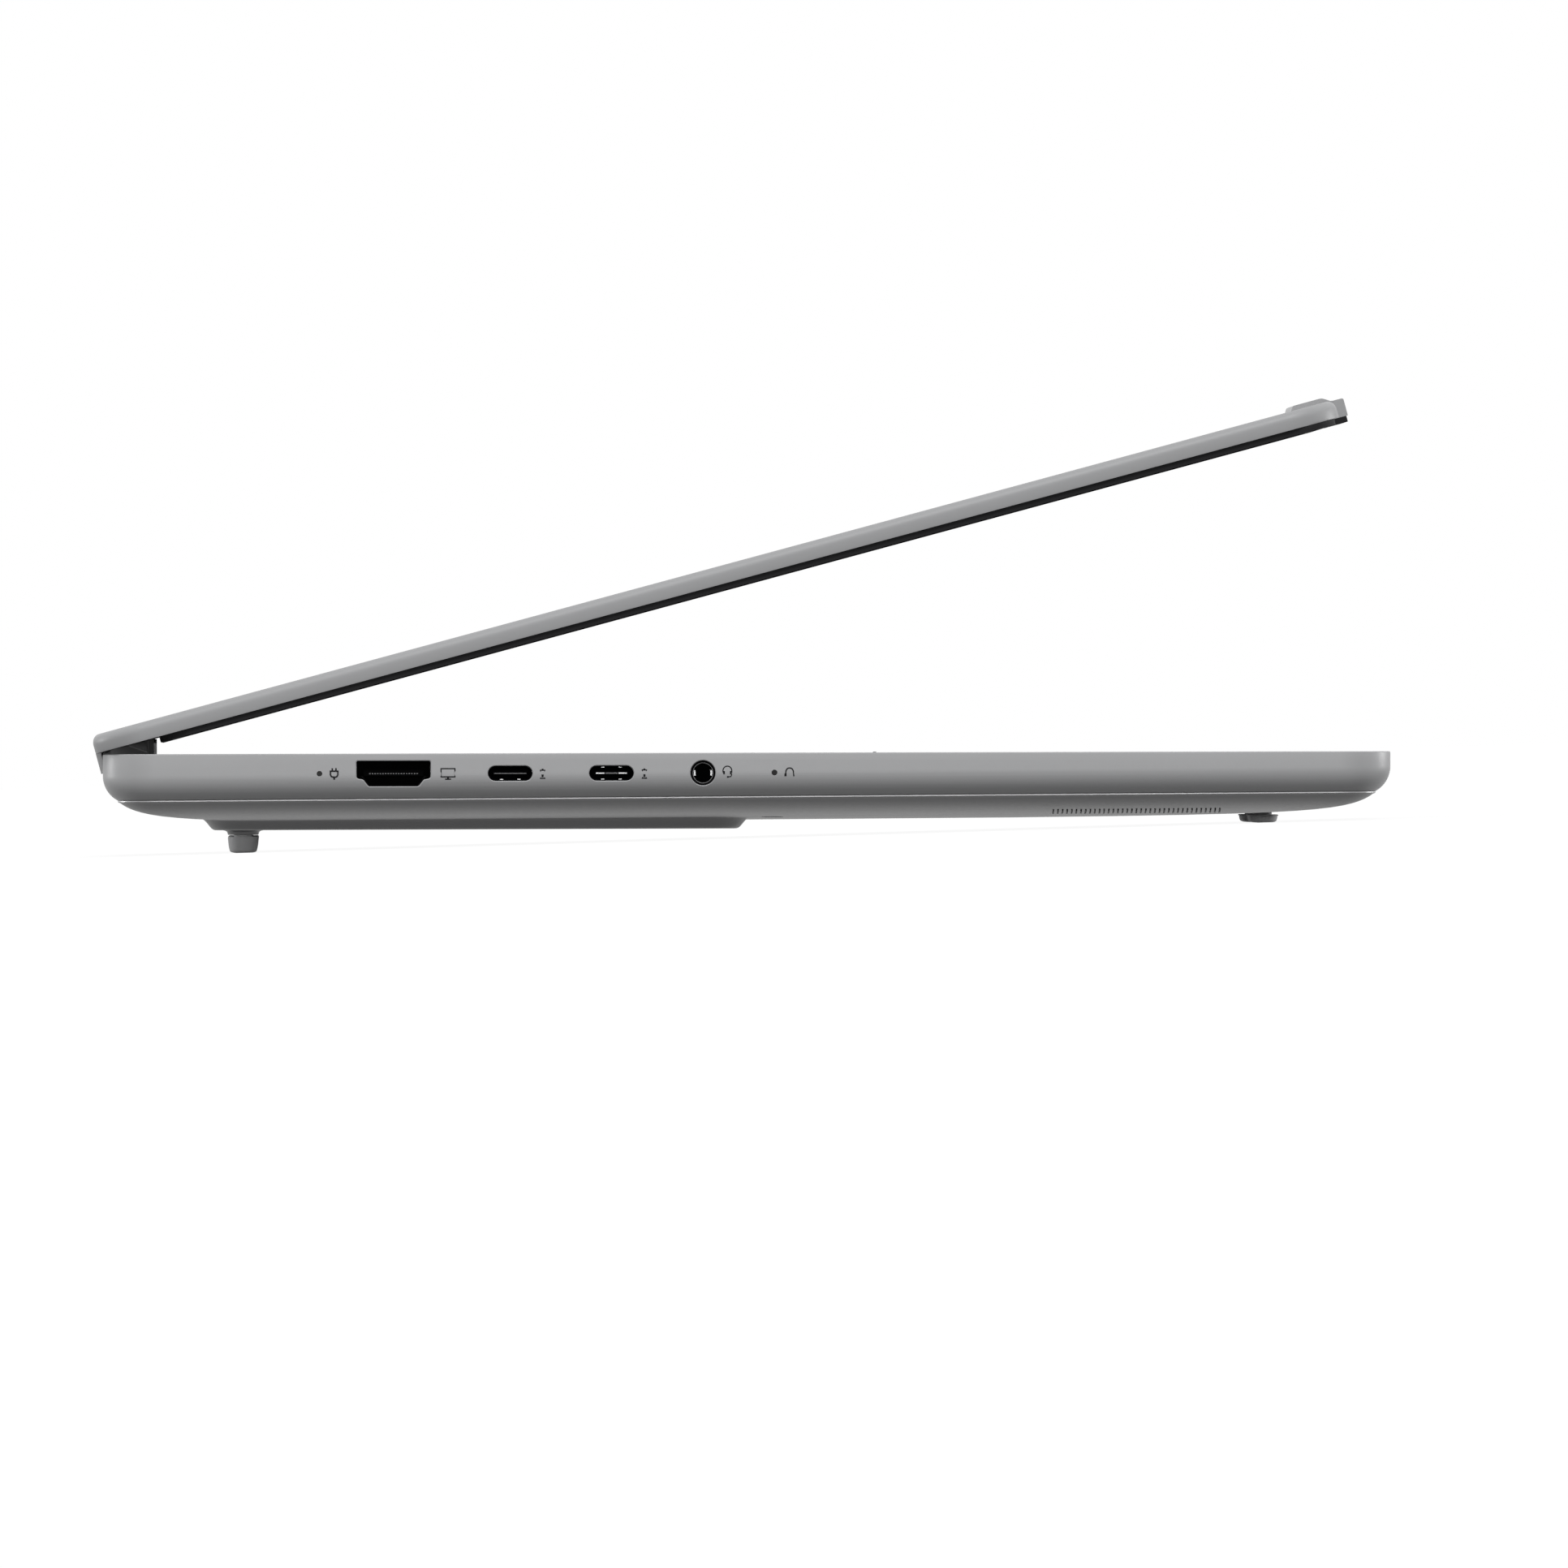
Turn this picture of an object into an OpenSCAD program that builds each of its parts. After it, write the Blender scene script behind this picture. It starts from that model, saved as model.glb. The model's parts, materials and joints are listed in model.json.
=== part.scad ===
// Sixteen inch notebook computer, lid raised a little, standing on its rubber feet.
//
// The base is drawn with the keyboard deck at z = 0, the front edge towards -Y and the
// side with the row of sockets towards -X.  The lid is drawn shut on that deck.  lid_pose()
// then opens it about the hinge pins, and stance() leans the whole machine forward onto its
// feet, so that the table is z = 0 and the footprint is centred on the origin.

/* [Case] */
// Width of the case, side to side
case_w = 356; // [350:1:380]
// Depth of the case, front to back
case_d = 250.7; // [248:0.1:270]
// Corner radius of the case, seen from above
corner_r = 10; // [7:0.5:14]
// Wall thickness of the side walls and the bottom cover
wall = 1.2; // [1:0.1:1.4]
// Thickness of the keyboard deck
deck_t = 1.2; // [1:0.1:1.3]
// Radius with which the side walls curl under
curl_r = 5.5; // [5.2:0.1:6]
// Straight height of the front wall above the curl
front_flat = 2.9; // [2.8:0.1:3.6]
// Straight height of the rear wall above the curl
rear_flat = 4.2; // [4.1:0.1:4.6]
// Drop from the start of the curl to the seam of the two shells
seam_drop = 4.9; // [4.7:0.1:5]
// Depth that the bottom cover approaches below the seam
belly = 4.85; // [4.7:0.05:5.4]
// Distance over which the bottom cover reaches half of that depth
belly_run = 5.4; // [4.8:0.1:6]

/* [Intake hump] */
// Width of the raised intake platform under the base
hump_w = 300; // [290:1:306]
// Gap from the rear of the case to the platform
hump_rear = 19.4; // [18:0.1:20]
// Length of the platform, front to back
hump_d = 106.5; // [104:0.5:110]
// Depth of the platform below the deck, at its rear edge
hump_depth = 14.9; // [14.7:0.05:15.4]
// Run of the platform's sloped edge
hump_ramp = 2.4; // [1.5:0.1:3]

/* [Lid] */
// Thickness of the metal lid
lid_t = 3.54; // [3.4:0.02:4.2]
// Thickness of the lid's flat skin
lid_skin = 0.84; // [0.7:0.02:0.9]
// Thickness of the lid's rim
lid_rim = 1.2; // [1:0.1:1.3]
// Height of the soft band that the lid closes on
band_t = 1.2; // [1:0.05:1.3]
// Gap between the soft band and the deck when the lid is shut
shut_gap = 0.3; // [0.25:0.05:0.5]
// Width of the rounded outer edge of the lid
lid_edge_w = 1.3; // [0.8:0.1:1.5]
// Height of the rounded outer edge of the lid
lid_edge_h = 1.7; // [1:0.1:2]
// Width of the camera bump, side to side
camera_w = 96; // [80:1:120]
// Height of the camera bump above the lid
camera_rise = 1.05; // [0.8:0.05:1.4]
// Overhang of the camera lip past the front edge of the lid
camera_lip = 1.7; // [1.3:0.1:2]

/* [Hinge] */
// How far the lid stands open at rest, in degrees
lid_open = 15; // [5:1:60]
// Distance of the hinge pins from the rear of the case
pin_inset = 4.5; // [4.4:0.05:4.6]
// Depth of the hinge pins below the deck
pin_drop = 4.3; // [4.2:0.05:4.4]
// Radius of the hinge pins
pin_r = 1.4; // [1.2:0.1:1.6]
// Running clearance of the pins in the lid's knuckles
pin_play = 0.05; // [0.02:0.01:0.1]
// How far the lid can open from shut, in degrees
lid_swing = 135; // [120:1:138]
// Distance of each hinge from the middle of the case
hinge_x = 120; // [110:1:130]
// Width of the solid cheek left at each end of the rear edge
cheek_w = 12; // [11:0.5:16]
// Height of the hinge bar above the deck
bar_rise = 3.0; // [2.4:0.1:3.1]
// Distance of the hinge bar's front face from the rear of the case
bar_front = 10; // [9.6:0.1:10.6]

/* [Feet] */
// Height of the deck above the table at the rear foot
rear_stand = 19.3; // [18.9:0.1:21]
// Height of the deck above the table at the front feet
front_stand = 13.9; // [13.7:0.1:15]
// Distance of the rear foot's middle from the rear of the case
rear_foot_in = 27.3; // [26.5:0.1:30]
// Distance of the front feet's middle from the front of the case
front_foot_in = 23.6; // [22:0.1:30]
// Length of the rear foot, side to side
rear_foot_w = 250; // [200:1:270]
// Distance of each front foot's middle from the middle of the case
front_foot_x = 62; // [50:1:120]
// Length of each front foot
front_foot_w = 46; // [30:1:60]

/* [Keyboard] */
// Distance between neighbouring keys, side to side
key_pitch = 19; // [18.4:0.1:19.4]
// Distance between the rows of full keys
row_pitch = 18.5; // [18:0.1:18.8]
// Depth of the function row
fn_pitch = 12; // [11:0.1:13]
// Space between neighbouring key caps
key_gap = 3.2; // [2.6:0.1:4]
// Travel of a key
key_travel = 1.0; // [0.7:0.1:1.1]
// Distance of the keyboard from the rear of the case
keys_in = 26; // [25:0.5:27]

/* [Touchpad] */
// Width of the touchpad
pad_w = 150; // [120:1:156]
// Space between the keyboard and the touchpad
palm_gap = 21.7; // [18:0.1:30]
// Distance of the touchpad from the front of the case
pad_in = 5.5; // [5:0.1:7]
// Thickness of the touchpad's glass
pad_t = 1.1; // [0.9:0.1:1.2]

/* [Sockets] */
// Depth of the sockets' middle below the deck
socket_drop = 3.9; // [3.85:0.05:4.1]
// Distance of the display socket from the rear of the case
display_at = 56.6; // [54:0.1:60]
// From the display socket to the rear small round-ended socket
data_step = 22.7; // [20:0.1:25]
// Between the two small round-ended sockets
data_pitch = 19.7; // [17:0.1:22]
// From the front small round-ended socket to the headphone socket
phones_step = 17.8; // [15:0.1:20]
// Bore radius of the headphone socket
phones_r = 1.88; // [1.8:0.01:1.95]
// Distance of the charge light from the rear of the case
light_at = 42.2; // [40:0.1:45]
// From the headphone socket to the reset pinhole
reset_step = 13.9; // [10:0.1:16]
// Distance of the first wide socket from the rear of the case
wide_rear_at = 62; // [58:0.5:66]
// Between the two wide sockets
wide_pitch = 20; // [18:0.5:22]
// Plain wall between the wide sockets and the memory card slot
card_space = 7; // [5:0.5:10]
// Plain wall between the memory card slot and the power button
button_space = 11.2; // [8:0.1:14]

/* [Cooling] */
// Distance of each fan from the middle of the case
fan_x = 104; // [100:1:108]
// Distance of each fan from the rear of the case
fan_in = 60; // [58:0.5:64]
// Radius of the fan wheels
fan_r = 27; // [22:0.5:28]
// Number of blades on each fan wheel
fan_blades = 23; // [13:2:31]
// Running clearance of the fan wheel on its axle
axle_play = 0.05; // [0.02:0.01:0.1]

/* [Hidden] */
$fn = 48;
corner_steps = 7;
curl_steps = 5;
seat_gap = 0.1;            // between pieces that sit against each other
slack = 0.3;               // between pieces that move past each other
eps = 0.01;
reach = 20;                // carries a cut right through whatever it starts in
tuck = 0.2;                // how far a solid runs into the one that it belongs to

half_w = case_w / 2;
rear_y = case_d / 2;
front_y = -case_d / 2;
curl_end = asin(seam_drop / curl_r);
seam_in = curl_r * (1 - cos(curl_end));
front_seam = front_flat + seam_drop;
rear_seam = rear_flat + seam_drop;
pin_y = rear_y - pin_inset;
pin_z = -pin_drop;
trough_x = half_w - cheek_w;
lid_z = band_t + shut_gap;
lid_top = lid_z + lid_t;
lid_room = lid_top - lid_skin;
bar_in = bar_front + 1;    // where the shells stop and the hinge bar takes over
bar_y = rear_y - bar_in;

// Lean of the deck, from the two foot heights
rear_foot_y = rear_y - rear_foot_in;
front_foot_y = front_y + front_foot_in;
lean = atan((rear_stand - front_stand) / (rear_foot_y - front_foot_y));
stand_z = front_stand * cos(lean) - front_foot_y * sin(lean);
// How far the raised lid reaches behind the case, and the shift that centres the footprint
lid_back = -pin_inset + pin_inset * cos(lid_open) + (lid_top - pin_z - lid_edge_h) * sin(lid_open);
centre_y = -lid_back / 2 + (rear_stand + front_stand) / 4 * sin(lean);

// Internal levels, all measured down from the deck
key_top = -0.15;
key_t = 1.5;
stem_w = 4;
tray_t = 0.5;
tray_top = -3.2;
tray_low = tray_top - tray_t;
stem_low = tray_top + slack;
board_t = 1.0;
board_top = -6.9;
board_low = board_top - board_t;
fan_low = -11.9;
fan_top = stem_low - key_travel - slack;
chip_t = 0.5;
spread_t = 1.0;
spread_low = board_low - chip_t - spread_t;
pipe_t = 1.4;
pipe_low = spread_low - seat_gap - pipe_t;

// ---------------------------------------------------------------- placing

module stance() {
    translate([0, centre_y, stand_z]) rotate([lean, 0, 0]) children();
}

module lid_pose() {
    stance() translate([0, pin_y, pin_z]) rotate([-lid_open, 0, 0])
        translate([0, -pin_y, -pin_z]) children();
}

// A flat outline in the Y-Z plane, drawn out along X from x0 over a width w
module along_x(x0, w) {
    translate([x0, 0, 0]) rotate([90, 0, 90]) linear_extrude(w) children();
}

// Both sides of the machine: the children and their mirror image
module both_sides() {
    children();
    mirror([1, 0, 0]) children();
}

// ---------------------------------------------------------------- outlines

// Rounded rectangle around the case, set in by a distance, level with the sloping seam
function case_ring(inset, z_front, z_rear) =
    let (hx = half_w - inset, hy = rear_y - inset, r = max(corner_r - inset, 1))
    [for (q = [0:3]) for (i = [0:corner_steps])
        let (a = 90 * (q + i / corner_steps),
             x = (q == 0 || q == 3 ? 1 : -1) * (hx - r) + r * cos(a),
             y = (q < 2 ? 1 : -1) * (hy - r) + r * sin(a))
        [x, y, z_front + (z_rear - z_front) * (y - front_y) / case_d]];

// Plain rounded rectangle as a list of points, centred on a place
function plate_points(w, d, r, at = [0, 0], steps = 4) =
    [for (q = [0:3]) for (i = [0:steps])
        let (a = 90 * (q + i / steps))
        [at[0] + (q == 0 || q == 3 ? 1 : -1) * (w / 2 - r) + r * cos(a),
         at[1] + (q < 2 ? 1 : -1) * (d / 2 - r) + r * sin(a)]];

// Skin over a stack of equal rings, listed from the top down
module loft(rings) {
    n = len(rings[0]);
    m = len(rings);
    polyhedron(
        points = [for (ring = rings) each ring],
        faces = concat(
            [[for (i = [n - 1:-1:0]) i]],
            [for (k = [0:m - 2]) for (i = [0:n - 1])
                [k * n + i, k * n + (i + 1) % n, (k + 1) * n + (i + 1) % n]],
            [for (k = [0:m - 2]) for (i = [0:n - 1])
                [k * n + i, (k + 1) * n + (i + 1) % n, (k + 1) * n + i]],
            [[for (i = [0:n - 1]) (m - 1) * n + i]]));
}

// Depth of the seam, and of the bottom cover's outside, at a place in plan
function seam_at(y) = front_seam + (rear_seam - front_seam) * (y - front_y) / case_d;
function belly_drop(t) = belly * t / (t + belly_run);
function cover_z(x, y) =
    let (inset = min(half_w - abs(x), rear_y - y, y - front_y))
    -seam_at(y) - belly_drop(inset - seam_in);

belly_steps = [0, 0.8, 2, 4, 7, 11, 16, 24, 40, 70];
function cover_ring(t, set_in, lift) =
    case_ring(seam_in + t + set_in,
              -front_seam - belly_drop(t) + lift, -rear_seam - belly_drop(t) + lift);

module rounded_plate(w, d, r, t) {
    linear_extrude(t) polygon(plate_points(w, d, r));
}

// ---------------------------------------------------------------- base shells

keys_w = 15 * key_pitch;
keys_d = fn_pitch + 5 * row_pitch;
keys_y = rear_y - keys_in - keys_d / 2;
frame_edge = 1;            // rim of the keyboard frame around the keys
frame_w = keys_w + 2 * frame_edge;
frame_d = keys_d + 2 * frame_edge;
pad_d = case_d - keys_in - keys_d - palm_gap - pad_in;
pad_y = front_y + pad_in + pad_d / 2;

// Where the screws come up through the bottom cover
screw_in = 16.4;           // rear row, from the rear of the case
screw_mid = 130.4;         // middle pair, from the rear of the case
screw_front = 13;          // front row, from the front of the case
screw_inner = 30;          // rear row's inner pair, clear of the heat pipes
screw_pad = 20;            // front row's inner pair, from the side of the touchpad
boss_r = 2.4;
tray_rim = 3.5;            // how far the keyboard tray reaches past the frame
strip_x = frame_w / 2 + tray_rim + slack + boss_r;   // bosses stand beside the keyboard tray
screw_at = [for (s = [-1, 1]) each [
    [s * strip_x, rear_y - screw_in], [s * screw_inner, rear_y - screw_in],
    [s * strip_x, rear_y - screw_mid],
    [s * strip_x, front_y + screw_front], [s * (pad_w / 2 + screw_pad), front_y + screw_front]]];
screw_r = 0.9;
screw_head_r = 2.0;
screw_head_t = 0.8;
screw_shank = 5;
screw_skin = 0.9;          // depth of the head's recess
screw_room = 0.3;          // clearance of the shank in the cover
head_room = 0.2;           // clearance of the head in its recess
bore_spare = 1.5;          // the bore goes this much past the screw's end
boss_low = 2.6;            // from the cover's outside up to the case's boss

// Sockets behind the side walls
shell_gap = 0.05;
shell_t = 0.17;
box_t = 0.25;
socket_in = 0.9;           // mouth of each socket behind the outside of the wall
socket_l = 12;
tongue_x = 2.0;            // display socket's tongue, behind its mouth
display_tongue = [11.6, 1.1];
data_tongue_x = 0.8;
data_tongue = [6.6, 0.7];
mouth_x = -half_w + socket_in;

// Side wall openings: outline in (y, z), all centred on the sockets' line
display_size = [14.44, 5.0];
data_size = [8.7, 2.95];
wide_size = [13.4, 5.7];
wide_low = 0.35;           // the wide sockets sit this much lower than the others
card_size = [24.6, 2.6];
button_size = [12, 2.5];
phones_ring_r = 2.44;
light_r = 0.5;
reset_r = 0.53;
data_rear_at = display_at + data_step;
data_front_at = data_rear_at + data_pitch;
phones_at = data_front_at + phones_step;
reset_at = phones_at + reset_step;
wide_at = [wide_rear_at, wide_rear_at + wide_pitch];
card_at = wide_at[1] + (wide_size[0] + card_size[0]) / 2 + card_space;
button_at = card_at + (card_size[0] + button_size[0]) / 2 + button_space;

// Where the board hangs under the deck: by the rear corners, and level with the wall between
// the wide sockets and the card slot
board_boss_in = [35, wide_at[1] + (wide_size[0] + card_space) / 2];
board_boss_at = [for (s = [-1, 1]) for (u = board_boss_in) [s * strip_x, rear_y - u]];

// Display socket: straight shoulders, then drawn in towards the lower edge
module display_outline(grow = 0) {
    w = display_size[0] / 2 + grow;
    h = display_size[1] / 2 + grow;
    polygon([[w, h], [-w, h], [-w, -0.7], [-w + 1, -0.7 - grow], [-w + 2.3, -h],
             [w - 2.3, -h], [w - 1, -0.7 - grow], [w, -0.7]]);
}

// Round-ended slot
module slot_outline(size, grow = 0) {
    r = size[1] / 2 + grow;
    w = size[0] - size[1];
    square([w, 2 * r], center = true);
    for (s = [-1, 1]) translate([s * w / 2, 0]) circle(r);
}

module at_socket(from_rear) {
    translate([rear_y - from_rear, -socket_drop]) children();
}

module at_wide(from_rear) {
    at_socket(from_rear) translate([0, -wide_low]) children();
}

module left_openings() {
    x0 = -half_w - 1;
    cut = curl_r + wall;
    along_x(x0, cut) at_socket(display_at) display_outline();
    along_x(x0, cut) at_socket(data_rear_at) slot_outline(data_size);
    along_x(x0, cut) at_socket(data_front_at) slot_outline(data_size);
    along_x(x0, cut) at_socket(phones_at) circle(phones_ring_r);
    along_x(x0, cut) at_socket(light_at) circle(light_r);
    along_x(x0, cut) at_socket(reset_at) circle(reset_r);
}

module right_openings() {
    cut = curl_r + wall;
    x0 = half_w + 1 - cut;
    for (u = wide_at) along_x(x0, cut) at_wide(u) square(wide_size, center = true);
    along_x(x0, cut) at_socket(card_at) square(card_size, center = true);
    along_x(x0, cut) at_socket(button_at) slot_outline(button_size);
}

// The rear strip between the cheeks, which the hinge bar fills
module rear_strip() {
    translate([-trough_x, bar_y, -reach]) cube([2 * trough_x, bar_in + reach, 2 * reach]);
}

deck_edge = 0.2;
tick_in = pad_in + pad_d + slack;
tick_size = [6, 0.6, 0.15];

module top_case() color("silver") stance() {
    outer = concat(
        [case_ring(deck_edge, 0, 0), case_ring(0, -deck_edge, -deck_edge)],
        [for (i = [0:curl_steps]) let (a = curl_end * i / curl_steps)
            case_ring(curl_r * (1 - cos(a)),
                      -front_flat - curl_r * sin(a), -rear_flat - curl_r * sin(a))]);
    inner = concat(
        [case_ring(wall, -deck_t, -deck_t)],
        [for (i = [0:curl_steps - 1]) let (a = curl_end * i / curl_steps)
            case_ring(curl_r * (1 - cos(a)) + wall,
                      -front_flat - curl_r * sin(a), -rear_flat - curl_r * sin(a))],
        [case_ring(seam_in + wall + 0.5, -front_seam - 1, -rear_seam - 1)]);
    difference() {
        loft(outer);
        loft(inner);
        rear_strip();
        translate([0, keys_y, -deck_t - 1])
            rounded_plate(frame_w + 2 * seat_gap, frame_d + 2 * seat_gap, 2.5, deck_t + 2);
        translate([0, pad_y, -deck_t - 1])
            rounded_plate(pad_w + 2 * slack, pad_d + 2 * slack, 3, deck_t + 2);
        left_openings();
        right_openings();
    }
    for (p = screw_at) screw_boss(p);
    for (p = board_boss_at) translate([p[0], p[1], board_top])
        cylinder(h = -board_top - deck_t + eps, r = boss_r);
    // small raised tick that marks the rear edge of the touchpad
    translate([-tick_size[0] / 2, front_y + tick_in, -eps]) cube(tick_size);
}

module screw_boss(p) {
    low = cover_z(p[0], p[1]) + boss_low;
    translate([p[0], p[1], 0]) difference() {
        translate([0, 0, low]) cylinder(h = -deck_t - low + eps, r = boss_r);
        translate([0, 0, low - 1])
            cylinder(h = 1 + screw_shank - boss_low + screw_skin + bore_spare, r = screw_r);
    }
}

hump_y = rear_y - hump_rear - hump_d / 2;
hump_r = 8;
function hump_ring(set_in, z, low) =
    [for (p = plate_points(hump_w - 2 * set_in, hump_d - 2 * set_in, hump_r, [0, hump_y], 5))
        [p[0], p[1], z + low * (rear_y - p[1]) / case_d]];

vent_w = 2;
vent_l = 24;
vent_pitch = 5;
vent_n = 13;
vent_rows = [-14, 14];
slit_pitch = 0.9;
slit_w = 0.45;
slit_from = 33;
slit_in = 10.5;
slit_l = 5;
slit_n = 37;

module bottom_cover() color("gray") stance() {
    outer = [for (t = belly_steps) cover_ring(t, 0, -seat_gap)];
    inner = concat([cover_ring(0, wall, 2)],
                   [for (t = belly_steps) cover_ring(t, wall, t == 0 ? 0.6 : wall - seat_gap)]);
    hump_fall = hump_depth - 14.6;
    difference() {
        union() {
            loft(outer);
            loft([hump_ring(0, -rear_seam - 2, 0), hump_ring(0.2, -rear_seam - 3.9, 0),
                  hump_ring(hump_ramp, -hump_depth, hump_fall)]);
            translate([0, rear_foot_y, -hump_depth - foot_rib])
                foot_plan(rear_foot_w, rear_foot_t, foot_rib + 1);
        }
        loft(inner);
        loft([hump_ring(wall + 1.5, -rear_seam, 0), hump_ring(wall + 1.6, -rear_seam - 4, 0),
              hump_ring(hump_ramp + wall, -hump_depth + wall, hump_fall)]);
        rear_strip();
        for (p = screw_at) translate([p[0], p[1], cover_z(p[0], p[1])]) {
            translate([0, 0, -2]) cylinder(h = 2 + screw_skin, r = screw_head_r + head_room);
            translate([0, 0, -2]) cylinder(h = 2 + screw_shank, r = screw_r + screw_room);
        }
        for (s = [-1, 1]) for (row = vent_rows) for (i = [0:vent_n - 1])
            translate([s * fan_x + (i - (vent_n - 1) / 2) * vent_pitch - vent_w / 2,
                       rear_y - fan_in + row - vent_l / 2, -hump_depth - 1])
                cube([vent_w, vent_l, 4]);
        // sound slits along the curved side edges
        for (s = [-1, 1]) for (i = [0:slit_n - 1])
            translate([s * (half_w - slit_in) - slit_l / 2, front_y + slit_from + i * slit_pitch, -reach])
                cube([slit_l, slit_w, reach + cover_z(half_w - slit_in, 0) + 3]);
    }
    for (p = screw_at) cover_boss(p);
}

// Ring inside the cover that the screw's head pulls on
module cover_boss(p) {
    z = cover_z(p[0], p[1]);
    difference() {
        translate([p[0], p[1], z + screw_skin]) cylinder(h = boss_low - screw_skin - seat_gap, r = boss_r);
        translate([p[0], p[1], z - 1]) cylinder(h = 1 + screw_shank, r = screw_r + screw_room);
    }
}

module cover_screws() color("dimgray") stance() {
    for (p = screw_at) translate([p[0], p[1], cover_z(p[0], p[1]) + screw_skin]) {
        translate([0, 0, -screw_head_t]) cylinder(h = screw_head_t, r = screw_head_r);
        translate([0, 0, -eps]) cylinder(h = screw_shank, r = screw_r);
    }
}

// ---------------------------------------------------------------- hinge

barrel_r = pin_inset - lid_rim - slack;   // fixed barrel about the pins
skirt_t = 1.0;
skirt_l = 4.1;
bar_back = lid_rim + slack;
knuckle_r = 2.8;
knuckle_w = 8;
ear_w = 5;
hinge_w = 2 * ear_w + knuckle_w + 2 * slack;
tip_z = lid_z - skirt_l - pin_z;     // height of the skirt's tip over the pins when shut
tip_r = norm([pin_inset, tip_z]);
sweep_r = tip_r + slack;             // the tip turns inside this
sweep_end = atan2(tip_z, pin_inset) - lid_swing - 4;

// Where the skirt passes as the lid opens: behind and under the barrel, to its last place
module swing_room() {
    difference() {
        union() {
            circle(sweep_r, $fn = 96);
            translate([0, -reach]) square(reach);
        }
        circle(barrel_r, $fn = 96);
        translate([-reach, 0]) square([2 * reach, reach]);
        rotate(sweep_end - 90) square(reach);
    }
    rotate(-lid_swing) translate([pin_inset - skirt_t - slack, tip_z - slack])
        square([skirt_t + 2 * slack, reach]);
}

// Cross section of the bar between the hinges
module bar_section() {
    difference() {
        union() {
            translate([rear_y - bar_front, -eps]) square([bar_front - bar_back, bar_rise + eps]);
            translate([bar_y + seat_gap, pin_z]) square([rear_y - bar_back - bar_y - seat_gap, -pin_z]);
            polygon([[bar_y + seat_gap, 0], [bar_y + seat_gap, cover_z(0, bar_y)],
                     [pin_y, cover_z(0, pin_y)], [pin_y, 0]]);
            translate([pin_y, pin_z]) circle(barrel_r, $fn = 96);
        }
        translate([pin_y, pin_z]) swing_room();
    }
}

// Room for one hinge in the bar
module hinge_room(x) {
    w = hinge_w + 2 * slack;
    translate([x - w / 2, pin_y - sweep_r, -reach]) cube([w, reach, 2 * reach]);
    translate([x - w / 2, bar_y - 1, -eps]) cube([w, reach, reach]);
}

module hinge_bar() color("dimgray") stance() difference() {
    along_x(-trough_x + seat_gap, 2 * (trough_x - seat_gap)) bar_section();
    both_sides() hinge_room(hinge_x);
    both_sides() along_x(hinge_x - hinge_w / 2 - slack, hinge_w + 2 * slack)
        bracket_leg(seat_gap);
}

// Steel strip that carries the ears into the base, under the deck
leg_t = 1.4;
leg_low = -deck_t - seat_gap - leg_t;
leg_l = 9;
module bracket_leg(grow = 0) {
    translate([bar_y - leg_l, leg_low - grow]) square([leg_l + sweep_r + 1, leg_t + 2 * grow]);
}

module hinge_brackets() color("darkgray") stance() both_sides() {
    for (s = [-1, 1]) {
        x0 = hinge_x + s * (knuckle_w + 2 * slack + ear_w) / 2 - ear_w / 2;
        difference() {
            union() {
                along_x(x0, ear_w) translate([pin_y, pin_z]) circle(knuckle_r);
                along_x(x0, ear_w) translate([bar_y, leg_low]) square([pin_y - bar_y, leg_t]);
            }
            along_x(x0 - 1, ear_w + 2) translate([pin_y, pin_z]) circle(pin_r);
        }
    }
    along_x(hinge_x - hinge_w / 2, hinge_w)
        translate([bar_y - leg_l, leg_low]) square([leg_l + 2.2, leg_t]);
}

module hinge_pins() color("silver") stance() both_sides()
    along_x(hinge_x - hinge_w / 2, hinge_w) translate([pin_y, pin_z]) circle(pin_r);

leaf_t = 0.9;
leaf_l = 11;
leaf_w = hinge_w;
arm_t = 2.0;
module hinge_leaves() color("darkgray") lid_pose() both_sides() {
    difference() {
        union() {
            along_x(hinge_x - knuckle_w / 2, knuckle_w) translate([pin_y, pin_z]) circle(knuckle_r);
            along_x(hinge_x - knuckle_w / 2, knuckle_w)
                translate([rear_y - lid_rim - seat_gap - arm_t, pin_z])
                    square([arm_t, lid_room - seat_gap - pin_z]);
        }
        along_x(hinge_x - knuckle_w, 2 * knuckle_w) translate([pin_y, pin_z]) circle(pin_r + pin_play);
    }
    translate([hinge_x - leaf_w / 2, rear_y - lid_rim - seat_gap - leaf_l, lid_room - seat_gap - leaf_t])
        cube([leaf_w, leaf_l, leaf_t]);
}

// ---------------------------------------------------------------- lid

glass_t = 0.75;
glass_rear = 13;           // from the lid's rear edge to the glass
band_in = 0.6;
band_w = 2.2;
band_rear = 12.8;
band_front = 1.0;
panel_t = 2.2;
trim_gap = 0.35;

module lid_shell() color("silver") lid_pose() {
    outer = concat(
        [for (i = [4:-1:0]) let (a = 90 * i / 4)
            case_ring(lid_edge_w * (1 - cos(a)),
                      lid_top - lid_edge_h + lid_edge_h * sin(a),
                      lid_top - lid_edge_h + lid_edge_h * sin(a))],
        [case_ring(0, lid_z, lid_z)]);
    difference() {
        union() {
            loft(outer);
            along_x(-camera_w / 2, camera_w) camera_section();
        }
        translate([0, 0, lid_z - 1])
            rounded_plate(case_w - 2 * lid_rim, case_d - 2 * lid_rim, corner_r - lid_rim,
                          lid_room - lid_z + 1);
    }
}

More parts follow.
